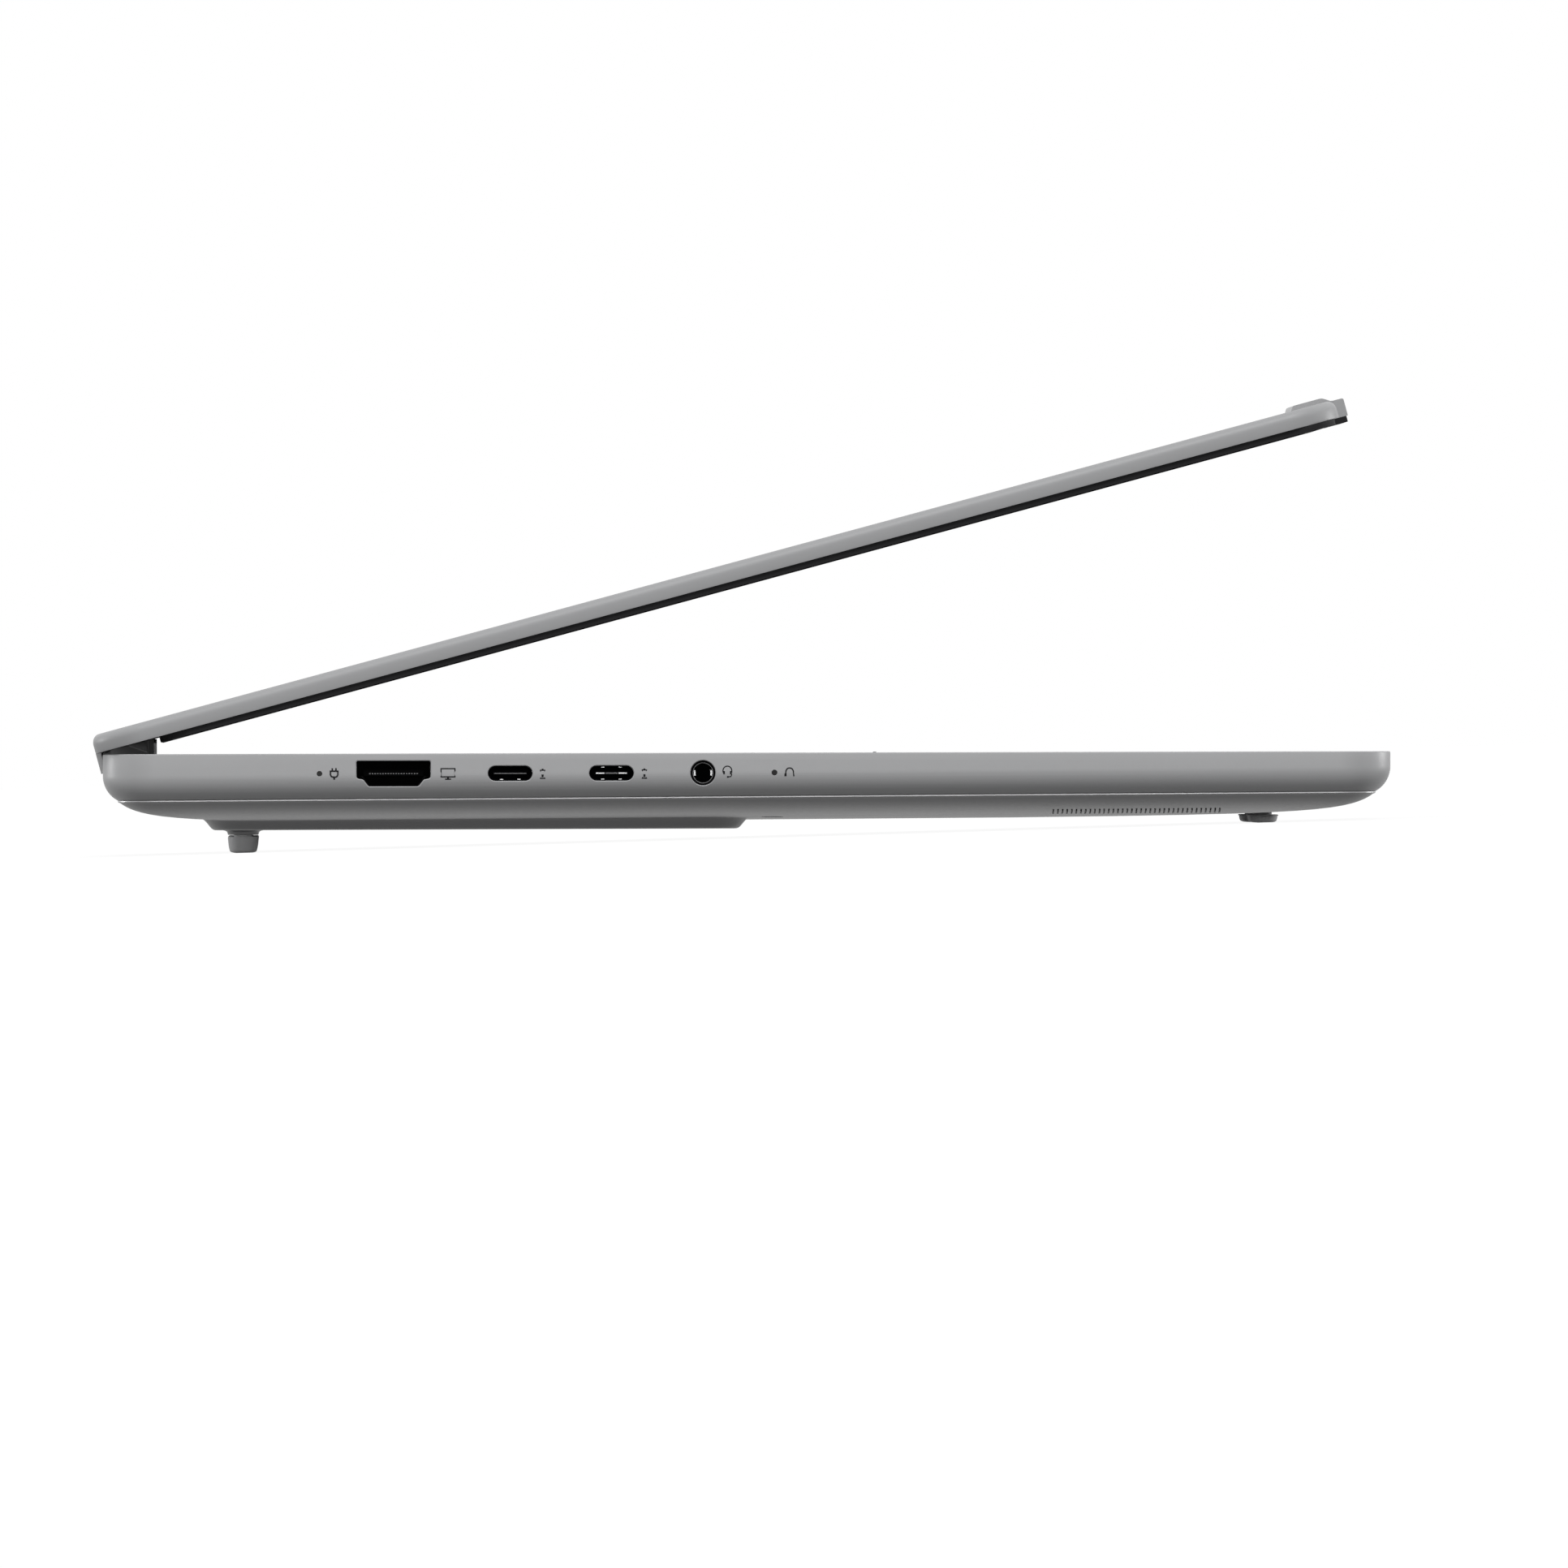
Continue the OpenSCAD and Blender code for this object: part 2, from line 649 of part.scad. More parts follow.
// The camera bump on the outside and its lip past the front edge
bump = [0.5, 7.6, 9.5];    // plateau's two ends and the foot of its ramp, from the front edge
lip_nose = [0.1, 0.4];     // how much of the lip's upper front corner is taken off
module camera_section() {
    tip = front_y - camera_lip;
    polygon([[front_y + bump[2], lid_room + tuck], [front_y + bump[2], lid_top],
             [front_y + bump[1], lid_top + camera_rise], [front_y + bump[0], lid_top + camera_rise],
             [front_y - 0.7, lid_top], [tip + lip_nose[0], lid_top - lip_nose[0]],
             [tip, lid_top - lip_nose[1]], [tip, lid_z],
             [front_y + bump[0], lid_z], [front_y + bump[0], lid_room + tuck]]);
}

module lid_skirt() color("dimgray") lid_pose()
    along_x(-trough_x + slack, 2 * (trough_x - slack))
        translate([rear_y - skirt_t, lid_z - skirt_l]) square([skirt_t, skirt_l]);

// Black liner of the recess that takes the hinge bar when the lid is shut
liner_t = 0.4;
module hinge_channel() color("black") lid_pose() {
    edge = lid_rim + seat_gap;
    translate([0, 0, lid_room - liner_t - seat_gap]) linear_extrude(liner_t) difference() {
        polygon(plate_points(case_w - 2 * edge, case_d - 2 * edge, corner_r - edge));
        translate([-half_w, front_y]) square([case_w, case_d - band_rear]);
        both_sides() translate([hinge_x - leaf_w / 2 - slack, rear_y - reach])
            square([leaf_w + 2 * slack, reach]);
    }
}

band_y = (rear_y - band_rear + front_y + band_front) / 2;
band_d = case_d - band_rear - band_front;
module screen_band() color("black") lid_pose() translate([0, band_y, shut_gap]) difference() {
    rounded_plate(case_w - 2 * band_in, band_d, 6, band_t);
    translate([0, 0, -1])
        rounded_plate(case_w - 2 * (band_in + band_w), band_d - 2 * band_w, 4, band_t + 2);
}

module screen_glass() color("black") lid_pose()
    translate([0, band_y, lid_z - glass_t])
        rounded_plate(case_w - 2 * (band_in + band_w + seat_gap), band_d - 2 * (band_w + seat_gap),
                      3.9, glass_t);

module display_panel() color("darkslategray") lid_pose()
    translate([-half_w + 6, front_y + 11, lid_z + seat_gap / 2])
        cube([case_w - 12, case_d - 27, panel_t]);

trim_in = 0.7;             // the trim's front face, behind the lip's front face
slot_w = 18;               // slot in the trim for the shutter's tab
module camera_lip_trim() color("black") lid_pose() difference() {
    translate([-camera_w / 2 + 1, front_y - camera_lip + trim_in, shut_gap])
        cube([camera_w - 2, camera_lip - trim_in + band_front - trim_gap, band_t]);
    translate([-slot_w / 2, front_y - camera_lip, shut_gap - 1]) cube([slot_w, 1.1, band_t + 2]);
}

camera_size = [24, 6];
camera_in = 6;             // from the lid's front edge to the lens
camera_leg = 3;
camera_lift = 0.6;         // room under the module for the shutter's blade
lens_r = 1.5;
lens_depth = 1.4;
module camera_module() color("black") lid_pose()
    translate([0, front_y + camera_in, lid_z]) difference() {
        union() {
            translate([-camera_size[0] / 2, -camera_size[1] / 2, camera_lift])
                cube([camera_size[0], camera_size[1], lid_room - lid_z - camera_lift - seat_gap]);
            for (s = [-1, 1]) translate([s * (camera_size[0] - camera_leg) / 2, 0, 0.5])
                cube([camera_leg, camera_size[1], 1], center = true);
        }
        translate([0, 0, -1]) cylinder(h = 1 + lens_depth, r = lens_r);
    }

blade_size = [5, 4, 0.3];
tab_t = 0.25;
shutter_x = -6;
module camera_shutter() color("orangered") lid_pose() {
    translate([shutter_x, front_y + camera_in - blade_size[1] / 2, lid_z + blade_size[2] / 2])
        cube(blade_size);
    translate([shutter_x, front_y - camera_lip + trim_in + 0.05, shut_gap + slack])
        cube([blade_size[0], tab_t, band_t - 2 * slack]);
}

// ---------------------------------------------------------------- feet

rear_foot_t = 6;
front_foot_t = 5.8;
foot_rib = 0.9;
foot_sag = 0.95;           // height of the domed underside
foot_trim = 0.12;          // what the table flattens off the dome
neck_h = 0.3;
neck_t = 3.6;

// Long round-ended plan shape standing on z = 0
module foot_plan(l, t, h) {
    translate([-(l - t) / 2, -t / 2, 0]) cube([l - t, t, h]);
    for (s = [-1, 1]) translate([s * (l - t) / 2, 0, 0]) cylinder(h = h, r = t / 2);
}

// Half outline of a pad: straight side, then a shallow dome; the tip is at height 0
module pad_half(t, h) {
    r = (t * t / 4 + foot_sag * foot_sag) / (2 * foot_sag);
    intersection() {
        square([t / 2, h]);
        translate([0, r]) circle(r, $fn = 96);
    }
    translate([0, foot_sag]) square([t / 2, h - foot_sag]);
}

module foot_pad(l, t, h) {
    for (s = [0, 1]) mirror([0, s, 0]) along_x(-(l - t) / 2, l - t) pad_half(t, h);
    for (s = [-1, 1]) translate([s * (l - t) / 2, 0, 0]) rotate_extrude($fn = 48) pad_half(t, h);
}

// Everything above the table
module above_table() {
    intersection() {
        children();
        translate([-half_w, -case_d, 0]) cube([case_w, 2 * case_d, rear_stand + reach]);
    }
}

module rear_foot() color("dimgray") above_table() stance() {
    top = -hump_depth - foot_rib;
    low = -rear_stand - foot_trim;
    translate([0, rear_foot_y, low]) foot_pad(rear_foot_w, rear_foot_t, top - neck_h - low);
    translate([0, rear_foot_y, top - neck_h - eps]) foot_plan(rear_foot_w - 3, neck_t, neck_h + eps);
}

module front_feet() color("black") above_table() stance() both_sides() {
    // the cover falls away inwards, so the foot seats at its inner edge
    top = cover_z(0, front_foot_y + neck_t / 2) - 2 * seat_gap;
    low = -front_stand - foot_trim;
    translate([front_foot_x, front_foot_y, low])
        foot_pad(front_foot_w, front_foot_t, top - neck_h - low);
    translate([front_foot_x, front_foot_y, top - neck_h - eps])
        foot_plan(front_foot_w - 3, neck_t - 0.4, neck_h + eps);
}

// ---------------------------------------------------------------- keyboard

// Key widths in each row, from the left, in units of the key pitch
key_rows = [
    [for (i = [1:16]) 15 / 16],
    [for (i = [1:14]) i < 14 ? 1 : 2],
    [for (i = [1:14]) i == 1 || i == 14 ? 1.5 : 1],
    [for (i = [1:13]) i == 1 ? 1.75 : i == 13 ? 2.25 : 1],
    [for (i = [1:12]) i == 1 ? 2.25 : i == 12 ? 2.75 : 1],
    [1.25, 1, 1, 1.25, 5.5, 1, 1, 1, 1, 1]];
arrow_first = 7;

function key_start(row, i) = i == 0 ? 0 : key_start(row, i - 1) + key_rows[row][i - 1];
function row_depth(row) = row == 0 ? fn_pitch : row_pitch;
function row_mid(row) = rear_y - keys_in
    - (row == 0 ? fn_pitch / 2 : fn_pitch + (row - 0.5) * row_pitch);

// Middle and size of one cap: [x, y, width, depth]
function cap(row, i) =
    [-keys_w / 2 + (key_start(row, i) + key_rows[row][i] / 2) * key_pitch, row_mid(row),
     key_rows[row][i] * key_pitch - key_gap, row_depth(row) - key_gap];

// The arrow keys are half as deep; the middle column holds two of them
half_d = (row_pitch - key_gap) / 2 - 0.4;
function arrow_cap(i, upper) =
    let (c = cap(5, i))
    [c[0], c[1] + (upper ? 1 : -1) * (c[3] - half_d) / 2, c[2], half_d];

function row_caps(row, first, last) = [for (i = [first:last]) cap(row, i)];
arrow_caps = [arrow_cap(7, false), arrow_cap(8, true), arrow_cap(8, false), arrow_cap(9, false)];
all_caps = concat([for (row = [0:4]) each row_caps(row, 0, len(key_rows[row]) - 1)],
                  row_caps(5, 0, 6), arrow_caps);
cap_r = 1.6;
hole_gap = 0.4;

module key_set(caps) color("darkslategray") stance()
    for (c = caps) {
        translate([0, 0, key_top - key_t]) linear_extrude(key_t)
            polygon(plate_points(c[2], c[3], cap_r, [c[0], c[1]], 3));
        translate([c[0] - stem_w / 2, c[1] - stem_w / 2, stem_low])
            cube([stem_w, stem_w, key_top - key_t - stem_low + eps]);
    }

module function_keys() key_set(row_caps(0, 0, 15));
module number_keys() key_set(row_caps(1, 0, 12));
module backspace_key() key_set([cap(1, 13)]);
module tab_key() key_set([cap(2, 0)]);
module upper_letter_keys() key_set(row_caps(2, 1, 13));
module caps_lock_key() key_set([cap(3, 0)]);
module middle_letter_keys() key_set(row_caps(3, 1, 11));
module enter_key() key_set([cap(3, 12)]);
module left_shift_key() key_set([cap(4, 0)]);
module lower_letter_keys() key_set(row_caps(4, 1, 10));
module right_shift_key() key_set([cap(4, 11)]);
module modifier_keys() key_set(concat(row_caps(5, 0, 3), row_caps(5, 5, 6)));
module space_bar() key_set([cap(5, 4)]);
module arrow_keys() key_set(arrow_caps);

module keyboard_frame() color("dimgray") stance()
    translate([0, 0, -deck_t]) linear_extrude(deck_t - 0.05) difference() {
        polygon(plate_points(frame_w, frame_d, 2.4, [0, keys_y]));
        for (c = all_caps)
            polygon(plate_points(c[2] + 2 * hole_gap, c[3] + 2 * hole_gap, cap_r + hole_gap,
                                 [c[0], c[1]], 3));
    }

// Pressed steel tray under the keys: a rim against the deck and square holes for the stems
module keyboard_tray() color("gray") stance() {
    w = frame_w + 2 * tray_rim;
    d = frame_d + 2 * tray_rim;
    translate([0, 0, tray_low]) linear_extrude(tray_t) difference() {
        polygon(plate_points(w, d, 3, [0, keys_y]));
        for (c = all_caps) translate([c[0], c[1]]) square(stem_w + 0.6, center = true);
    }
    rim(w, d, keys_y, tray_top - eps);
}

// Upright rim from a level up to the underside of the deck
rim_t = 2;
module rim(w, d, y, low) {
    translate([0, y, low]) linear_extrude(-deck_t - low) difference() {
        polygon(plate_points(w, d, 3));
        polygon(plate_points(w - 2 * rim_t, d - 2 * rim_t, rim_t - 0.5));
    }
}

// ---------------------------------------------------------------- touchpad

pad_low = -0.05 - pad_t;
pad_swing = 0.5;           // how far the front edge of the pad can dip
pad_spare = 0.25;          // left over when the front edge is down
bracket_top = pad_low - pad_swing - pad_spare;
bracket_t = 0.6;
bracket_low = bracket_top - bracket_t;
bracket_rim = 3.5;
ledge = 4;                 // the ledge that the rear of the pad flexes on
ledge_in = 5;
click_size = [8, 6, 0.2];  // the click switch, and its distance from the pad's front edge
click_in = 6;

module touchpad() color("slategray") stance()
    translate([0, pad_y, pad_low]) rounded_plate(pad_w, pad_d, 2.7, pad_t);

// Fixed tray under the pad: flexing ledge at the rear, click switch at the front
module touchpad_bracket() color("gray") stance() {
    w = pad_w + 2 * bracket_rim;
    d = pad_d + 2 * bracket_rim;
    translate([0, pad_y, bracket_low]) rounded_plate(w, d, 3, bracket_t);
    rim(w, d, pad_y, bracket_top - eps);
    translate([-pad_w / 2 + ledge_in, pad_y + pad_d / 2 - ledge_in, bracket_top - eps])
        cube([pad_w - 2 * ledge_in, ledge, pad_low - bracket_top - 0.05]);
    translate([-click_size[0] / 2, pad_y - pad_d / 2 + click_in, bracket_top - eps])
        cube(click_size);
}

// ---------------------------------------------------------------- electronics

fan_y = rear_y - fan_in;
fan_wall = 4;              // from the wheel's tips to the outside of the housing
fan_space = 2;             // between a fan housing and the board
board_side = 5;            // from the left side of the case to the board
board_left = -half_w + board_side;
board_right = half_w - socket_in - socket_l - slack;
board_rear = 26;
board_front = 142;
module mainboard() color("darkgreen") stance()
    translate([0, 0, board_low]) linear_extrude(board_t) difference() {
        translate([board_left, rear_y - board_front])
            square([board_right - board_left, board_front - board_rear]);
        room = fan_r + fan_wall + fan_space;
        for (s = [-1, 1]) {
            translate([s * fan_x, fan_y]) circle(room, $fn = 96);
            translate([s * fan_x - room, fan_y]) square([2 * room, fan_in]);
        }
        for (p = screw_at) translate(p) circle(boss_r + slack);
    }

chip_in = 76;              // from the rear of the case to the processor's middle
chip_y = rear_y - chip_in;
chip_size = [28, 20];
spread_size = [68, 32];
module processor() color("dimgray") stance()
    translate([-chip_size[0] / 2, chip_y - chip_size[1] / 2, board_low - chip_t])
        cube([chip_size[0], chip_size[1], chip_t]);

module heat_spreader() color("peru") stance()
    translate([-spread_size[0] / 2, chip_y - spread_size[1] / 2, spread_low])
        cube([spread_size[0], spread_size[1], spread_t]);

fin_rear = bar_in + 0.5;   // from the rear of the case to the fins
fin_front = 25;
fin_half = 28;
fin_n = 21;
fin_t = 0.4;
pipe_w = 8;
pipe_start = 20;
pipe_bend = 50;
pipe_end = fan_x + fin_half - pipe_w / 2;
module heat_pipes() color("peru") stance() both_sides() {
    y1 = rear_y - (fin_rear + fin_front) / 2;
    // from the spreader, out to the side, then along the fins
    path = [[pipe_start, chip_y], [pipe_bend, y1], [pipe_end, y1]];
    translate([0, 0, pipe_low]) linear_extrude(pipe_t) {
        for (i = [0:1]) let (a = path[i], b = path[i + 1], d = b - a)
            translate(a) rotate(atan2(d[1], d[0]))
                translate([0, -pipe_w / 2]) square([norm(d), pipe_w]);
        for (p = path) translate(p) circle(pipe_w / 2);
    }
}

module fin_stacks() color("silver") stance() both_sides() {
    low = spread_low + seat_gap;
    d = fin_front - fin_rear;
    pitch = (2 * fin_half - fin_t) / (fin_n - 1);
    for (i = [0:fin_n - 1]) translate([fan_x - fin_half + i * pitch, rear_y - fin_front, low])
        cube([fin_t, d, fan_top - low]);
    for (z = [low, fan_top - fin_t]) translate([fan_x - fin_half, rear_y - fin_front, z])
        cube([2 * fin_half, d, fin_t]);
}

axle_r = 1.2;
hub_r = 9;
fan_seat = 1.6;            // from the housing's underside to the wheel
fan_skin = 0.8;            // thickness of the housing's flat walls
fan_rim = 1;               // thickness of its upright walls
spoke_w = 2;
duct_gap = 0.5;            // between the housing's outlet and the fins
intake_r = fan_r - 8;
module fan_housings() color("dimgray") stance() both_sides() translate([fan_x, fan_y, 0]) {
    r = fan_r + fan_wall;
    h = fan_top - fan_low;
    difference() {
        union() {
            translate([0, 0, fan_low]) cylinder(h = h, r = r, $fn = 96);
            translate([-fin_half, 0, fan_low]) cube([2 * fin_half, fan_in - fin_front - duct_gap, h]);
        }
        translate([0, 0, fan_low + fan_skin])
            cylinder(h = h - 2 * fan_skin, r = r - fan_rim, $fn = 96);
        translate([-fin_half + fan_rim, 0, fan_low + fan_skin])
            cube([2 * (fin_half - fan_rim), fan_in, h - 2 * fan_skin]);
        // the intake opening, with spokes that carry the axle across it
        translate([0, 0, fan_low - 1]) linear_extrude(1 + fan_seat) difference() {
            circle(intake_r, $fn = 96);
            circle(hub_r / 2);
            for (a = [0, 60, 120]) rotate(a) square([2 * fan_r, spoke_w], center = true);
        }
    }
    translate([0, 0, fan_low + fan_skin / 2]) cylinder(h = h - fan_skin, r = axle_r);
}

blade_t = 0.7;
blade_set = 4;             // each blade stands off the radial line, so that it leans back
blade_root = 3;            // how far a blade runs into the hub
fan_over = 1.2;            // from the wheel up to the housing's top
module fan_wheel() color("gray") stance()
    translate([fan_x, fan_y, fan_low + fan_seat])
        linear_extrude(fan_top - fan_over - fan_low - fan_seat) difference() {
            union() {
                circle(hub_r, $fn = 96);
                for (i = [0:fan_blades - 1]) rotate(i * 360 / fan_blades)
                    translate([hub_r - blade_root, -blade_set])
                        square([sqrt(pow(fan_r, 2) - pow(blade_set, 2)) - hub_r + blade_root, blade_t]);
            }
            circle(axle_r + axle_play, $fn = 48);
        }
module left_fan() mirror([1, 0, 0]) fan_wheel();
module right_fan() fan_wheel();

speaker_size = [40, 48];
speaker_side = 15;         // from the side of the case to the speaker
speaker_front = 26;
speaker_top = -3;
speaker_mouth = [12, 30, 2];
speaker_edge = 4;          // from the speaker's outer side to the middle of its mouth
battery_front = 24;
battery_space = 8.7;       // between the battery and the board
battery_side = 12.5;       // between the battery and each speaker
battery_low = -10.2;
cell_gap = 1;
module battery() color("black") stance() {
    half = half_w - speaker_side - speaker_size[0] - battery_side;
    pitch = (2 * half + cell_gap) / 3;
    d = case_d - battery_front - board_front - battery_space;
    for (i = [0:2]) translate([-half + i * pitch, front_y + battery_front, battery_low])
        cube([pitch - cell_gap, d, bracket_low - slack - battery_low]);
}

module speaker(side) color("black") stance() {
    low = cover_z(half_w - speaker_side, front_y + speaker_front) + wall + slack;
    h = speaker_top - low;
    x = side * (half_w - speaker_side - speaker_size[0] / 2);
    translate([x, front_y + speaker_front + speaker_size[1] / 2, low + h / 2]) difference() {
        cube([speaker_size[0], speaker_size[1], h], center = true);
        translate([side * (speaker_size[0] / 2 - speaker_edge - 1), 0, 0])
            cube(speaker_mouth, center = true);
    }
}
module left_speaker() speaker(-1);
module right_speaker() speaker(1);

storage_size = [80, 22, 2.2];
storage_x = -60;
storage_edge = 18;         // from the board's front edge
wireless_size = [22, 30, 2];
wireless_x = 34;
wireless_edge = 14;
module board_card(x, edge, size)
    translate([x, rear_y - board_front + edge, board_low - slack - size[2]]) cube(size);

module storage_card() color("darkgreen") stance() board_card(storage_x, storage_edge, storage_size);
module wireless_card() color("seagreen") stance() board_card(wireless_x, wireless_edge, wireless_size);

// ---------------------------------------------------------------- sockets

// Block under a socket that carries it down to the board
pedestal_in = 6;
module pedestal(from_rear, w, half_h) {
    low = board_top;
    high = -socket_drop - half_h + shell_gap + shell_t / 2;
    if (high > low) translate([-half_w + pedestal_in, rear_y - from_rear - w / 2, low])
        cube([socket_l - pedestal_in, w, high - low]);
}

module display_socket() color("silver") stance() {
    along_x(mouth_x, socket_l) at_socket(display_at) difference() {
        display_outline(-shell_gap);
        display_outline(-shell_gap - shell_t);
    }
    along_x(mouth_x + socket_l - 1, 1) at_socket(display_at) display_outline(-shell_gap);
    along_x(mouth_x + tongue_x, socket_l - tongue_x) at_socket(display_at)
        translate([0, 0.1]) square(display_tongue, center = true);
    pedestal(display_at, 9, display_size[1] / 2);
}

module data_socket(from_rear) color("silver") stance() {
    along_x(mouth_x, socket_l) at_socket(from_rear) difference() {
        slot_outline(data_size, -shell_gap);
        slot_outline(data_size, -shell_gap - shell_t);
    }
    along_x(mouth_x + socket_l - 1, 1) at_socket(from_rear) slot_outline(data_size, -shell_gap);
    along_x(mouth_x + data_tongue_x, socket_l - data_tongue_x) at_socket(from_rear)
        square(data_tongue, center = true);
    pedestal(from_rear, 7, data_size[1] / 2);
}
module rear_data_socket() data_socket(data_rear_at);
module front_data_socket() data_socket(data_front_at);

phones_neck = 4;           // the round neck in front of the socket's block
phones_block = 6;
module headphone_socket() color("black") stance() {
    difference() {
        union() {
            along_x(mouth_x, socket_l) at_socket(phones_at) circle(phones_ring_r - shell_gap);
            translate([mouth_x + phones_neck, rear_y - phones_at - phones_block / 2, board_top])
                cube([socket_l - phones_neck, phones_block, -deck_t - seat_gap - board_top]);
        }
        along_x(mouth_x - 1, socket_l) at_socket(phones_at) circle(phones_r);
    }
}

light_sunk = 0.15;         // the light sits this much below the wall's outside
light_play = 0.03;
light_l = 5;
light_foot = [3, 2];
module charge_light() color("white") stance() {
    along_x(-half_w + light_sunk, light_l) at_socket(light_at) circle(light_r - light_play);
    translate([-half_w + light_l - 1, rear_y - light_at - light_foot[1] / 2, board_top])
        cube([light_foot[0], light_foot[1], -socket_drop + light_r - board_top]);
}

reset_in = 3.2;            // from the wall's outside to the reset switch
reset_size = 4;
reset_over = 1.2;
module reset_switch() color("dimgray") stance()
    translate([-half_w + reset_in, rear_y - reset_at - reset_size / 2, board_top])
        cube([reset_size, reset_size, -socket_drop + reset_over - board_top]);

// Sheet metal box with a closed inner end, open towards +X; size is its outline
module side_box(l, size) {
    along_x(half_w - socket_in - l, l) difference() {
        square(size, center = true);
        square([size[0] - 2 * box_t, size[1] - 2 * box_t], center = true);
    }
    along_x(half_w - socket_in - l, 1) square(size, center = true);
}

wide_tongue = [11, 1.9];
module wide_data_sockets() color("silver") stance()
    for (u = wide_at) translate([0, rear_y - u, -socket_drop - wide_low]) {
        side_box(socket_l, [wide_size[0] - 2 * shell_gap, wide_size[1] - 2 * shell_gap]);
        along_x(half_w - socket_in - socket_l, socket_l - 1)
            translate([0, 1]) square(wide_tongue, center = true);
    }

// The slot is as deep as the room beside the keyboard tray lets it be
card_l = min(16, half_w - socket_in - frame_w / 2 - tray_rim - slack);
card_foot = [8, 16];
module memory_card_slot() color("silver") stance() {
    h = card_size[1] - 2 * shell_gap;
    translate([0, rear_y - card_at, -socket_drop]) side_box(card_l, [card_size[0] - 2 * shell_gap, h]);
    translate([half_w - socket_in - card_l, rear_y - card_at - card_foot[1] / 2, board_top])
        cube([card_foot[0], card_foot[1], -socket_drop - h / 2 - board_top]);
}

press = 0.5;               // travel of the power button
stem_in = 6.5;             // inner end of the button's stem, from the outside of the wall
cap_in = 4;                // inner face of the button's cap
cap_flush = 0.1;           // the cap sits this much below the wall, and clear of its opening
button_stem = [4, 2];
switch_size = [4, 8];
switch_over = 1.5;         // top of the switch above the button's middle
module power_button() color("silver") stance() {
    along_x(half_w - cap_in, cap_in - cap_flush)
        at_socket(button_at) slot_outline(button_size, -cap_flush);
    along_x(half_w - stem_in, stem_in - cap_in + eps)
        at_socket(button_at) square(button_stem, center = true);
}

module power_switch() color("black") stance() {
    x1 = half_w - stem_in - press - seat_gap;
    translate([x1 - switch_size[0], rear_y - button_at - switch_size[1] / 2, board_top])
        cube([switch_size[0], switch_size[1], -socket_drop + switch_over - board_top]);
}

// ---------------------------------------------------------------- drawing

top_case();
bottom_cover();
hinge_bar();
keyboard_frame();
keyboard_tray();
function_keys();
number_keys();
backspace_key();
tab_key();
upper_letter_keys();
caps_lock_key();
middle_letter_keys();
enter_key();
left_shift_key();
lower_letter_keys();
right_shift_key();
modifier_keys();
space_bar();
arrow_keys();
touchpad();
touchpad_bracket();
mainboard();
processor();
heat_spreader();
heat_pipes();
fin_stacks();
fan_housings();
left_fan();
right_fan();
battery();
left_speaker();
right_speaker();
storage_card();
wireless_card();
display_socket();
rear_data_socket();
front_data_socket();
headphone_socket();
charge_light();
reset_switch();
wide_data_sockets();
memory_card_slot();
power_button();
power_switch();
cover_screws();
rear_foot();
front_feet();
hinge_brackets();
hinge_pins();
hinge_leaves();
lid_shell();
lid_skirt();
hinge_channel();
display_panel();
screen_glass();
screen_band();
camera_lip_trim();
camera_module();
camera_shutter();
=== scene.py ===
import json
from math import asin, cos, radians, sin, sqrt, tau

import bmesh
import bpy
from mathutils import Matrix, Vector


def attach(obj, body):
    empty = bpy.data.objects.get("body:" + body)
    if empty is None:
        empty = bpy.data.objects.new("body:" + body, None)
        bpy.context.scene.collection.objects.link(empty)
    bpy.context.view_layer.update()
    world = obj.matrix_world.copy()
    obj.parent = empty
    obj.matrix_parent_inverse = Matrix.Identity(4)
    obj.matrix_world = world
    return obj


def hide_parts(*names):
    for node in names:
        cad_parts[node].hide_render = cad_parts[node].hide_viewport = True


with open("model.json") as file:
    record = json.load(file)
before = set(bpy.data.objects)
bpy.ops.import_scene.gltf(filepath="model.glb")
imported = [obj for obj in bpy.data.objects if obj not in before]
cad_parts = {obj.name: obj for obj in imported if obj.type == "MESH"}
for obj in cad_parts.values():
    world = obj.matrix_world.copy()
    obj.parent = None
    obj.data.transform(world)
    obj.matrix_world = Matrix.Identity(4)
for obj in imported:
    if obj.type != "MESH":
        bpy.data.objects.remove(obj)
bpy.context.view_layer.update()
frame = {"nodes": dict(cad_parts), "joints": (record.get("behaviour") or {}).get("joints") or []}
print("frame loaded:", len(frame["nodes"]), "nodes")

# everything below is drawn in millimetres, in two drawing frames: the deck frame has the
# keyboard deck at z = 0, and the lid frame is the same one with the lid shut on the deck
case = {
    "width": 356.0, "depth": 250.7, "cornerRadius": 10.0, "cornerSteps": 10, "wall": 1.2,
    "curl": 5.5, "frontFlat": 2.9, "rearFlat": 4.2, "seamDrop": 4.9, "belly": 4.85,
    "bellyRun": 5.4, "pinIn": 4.5, "pinDrop": 4.3, "lidOpen": 15.0, "cheek": 12.0,
    "barIn": 11.0,
    "markRoom": 0.03,                 # the walls stand back this far, to leave the marks room
}
halfWidth = case["width"] / 2
rearY = case["depth"] / 2
frontY = -rearY
curlEnd = asin(case["seamDrop"] / case["curl"])
seamIn = case["curl"] * (1 - cos(curlEnd))
seamFront = case["frontFlat"] + case["seamDrop"]
seamRear = case["rearFlat"] + case["seamDrop"]

jointOf = {joint["name"]: joint for joint in frame["joints"]}
lean = asin(jointOf["space_bar_press"]["axis"][1])
pinAt = Vector(jointOf["lid_hinge"]["pos_m"])
toPin = Matrix.Scale(0.001, 4) @ Matrix.Translation((0, case["pinIn"] - rearY, case["pinDrop"]))
smoothAngle = 32                      # an edge up to this many degrees is shaded smooth
weldGap = 0.000004                    # points this close, in metres, are one


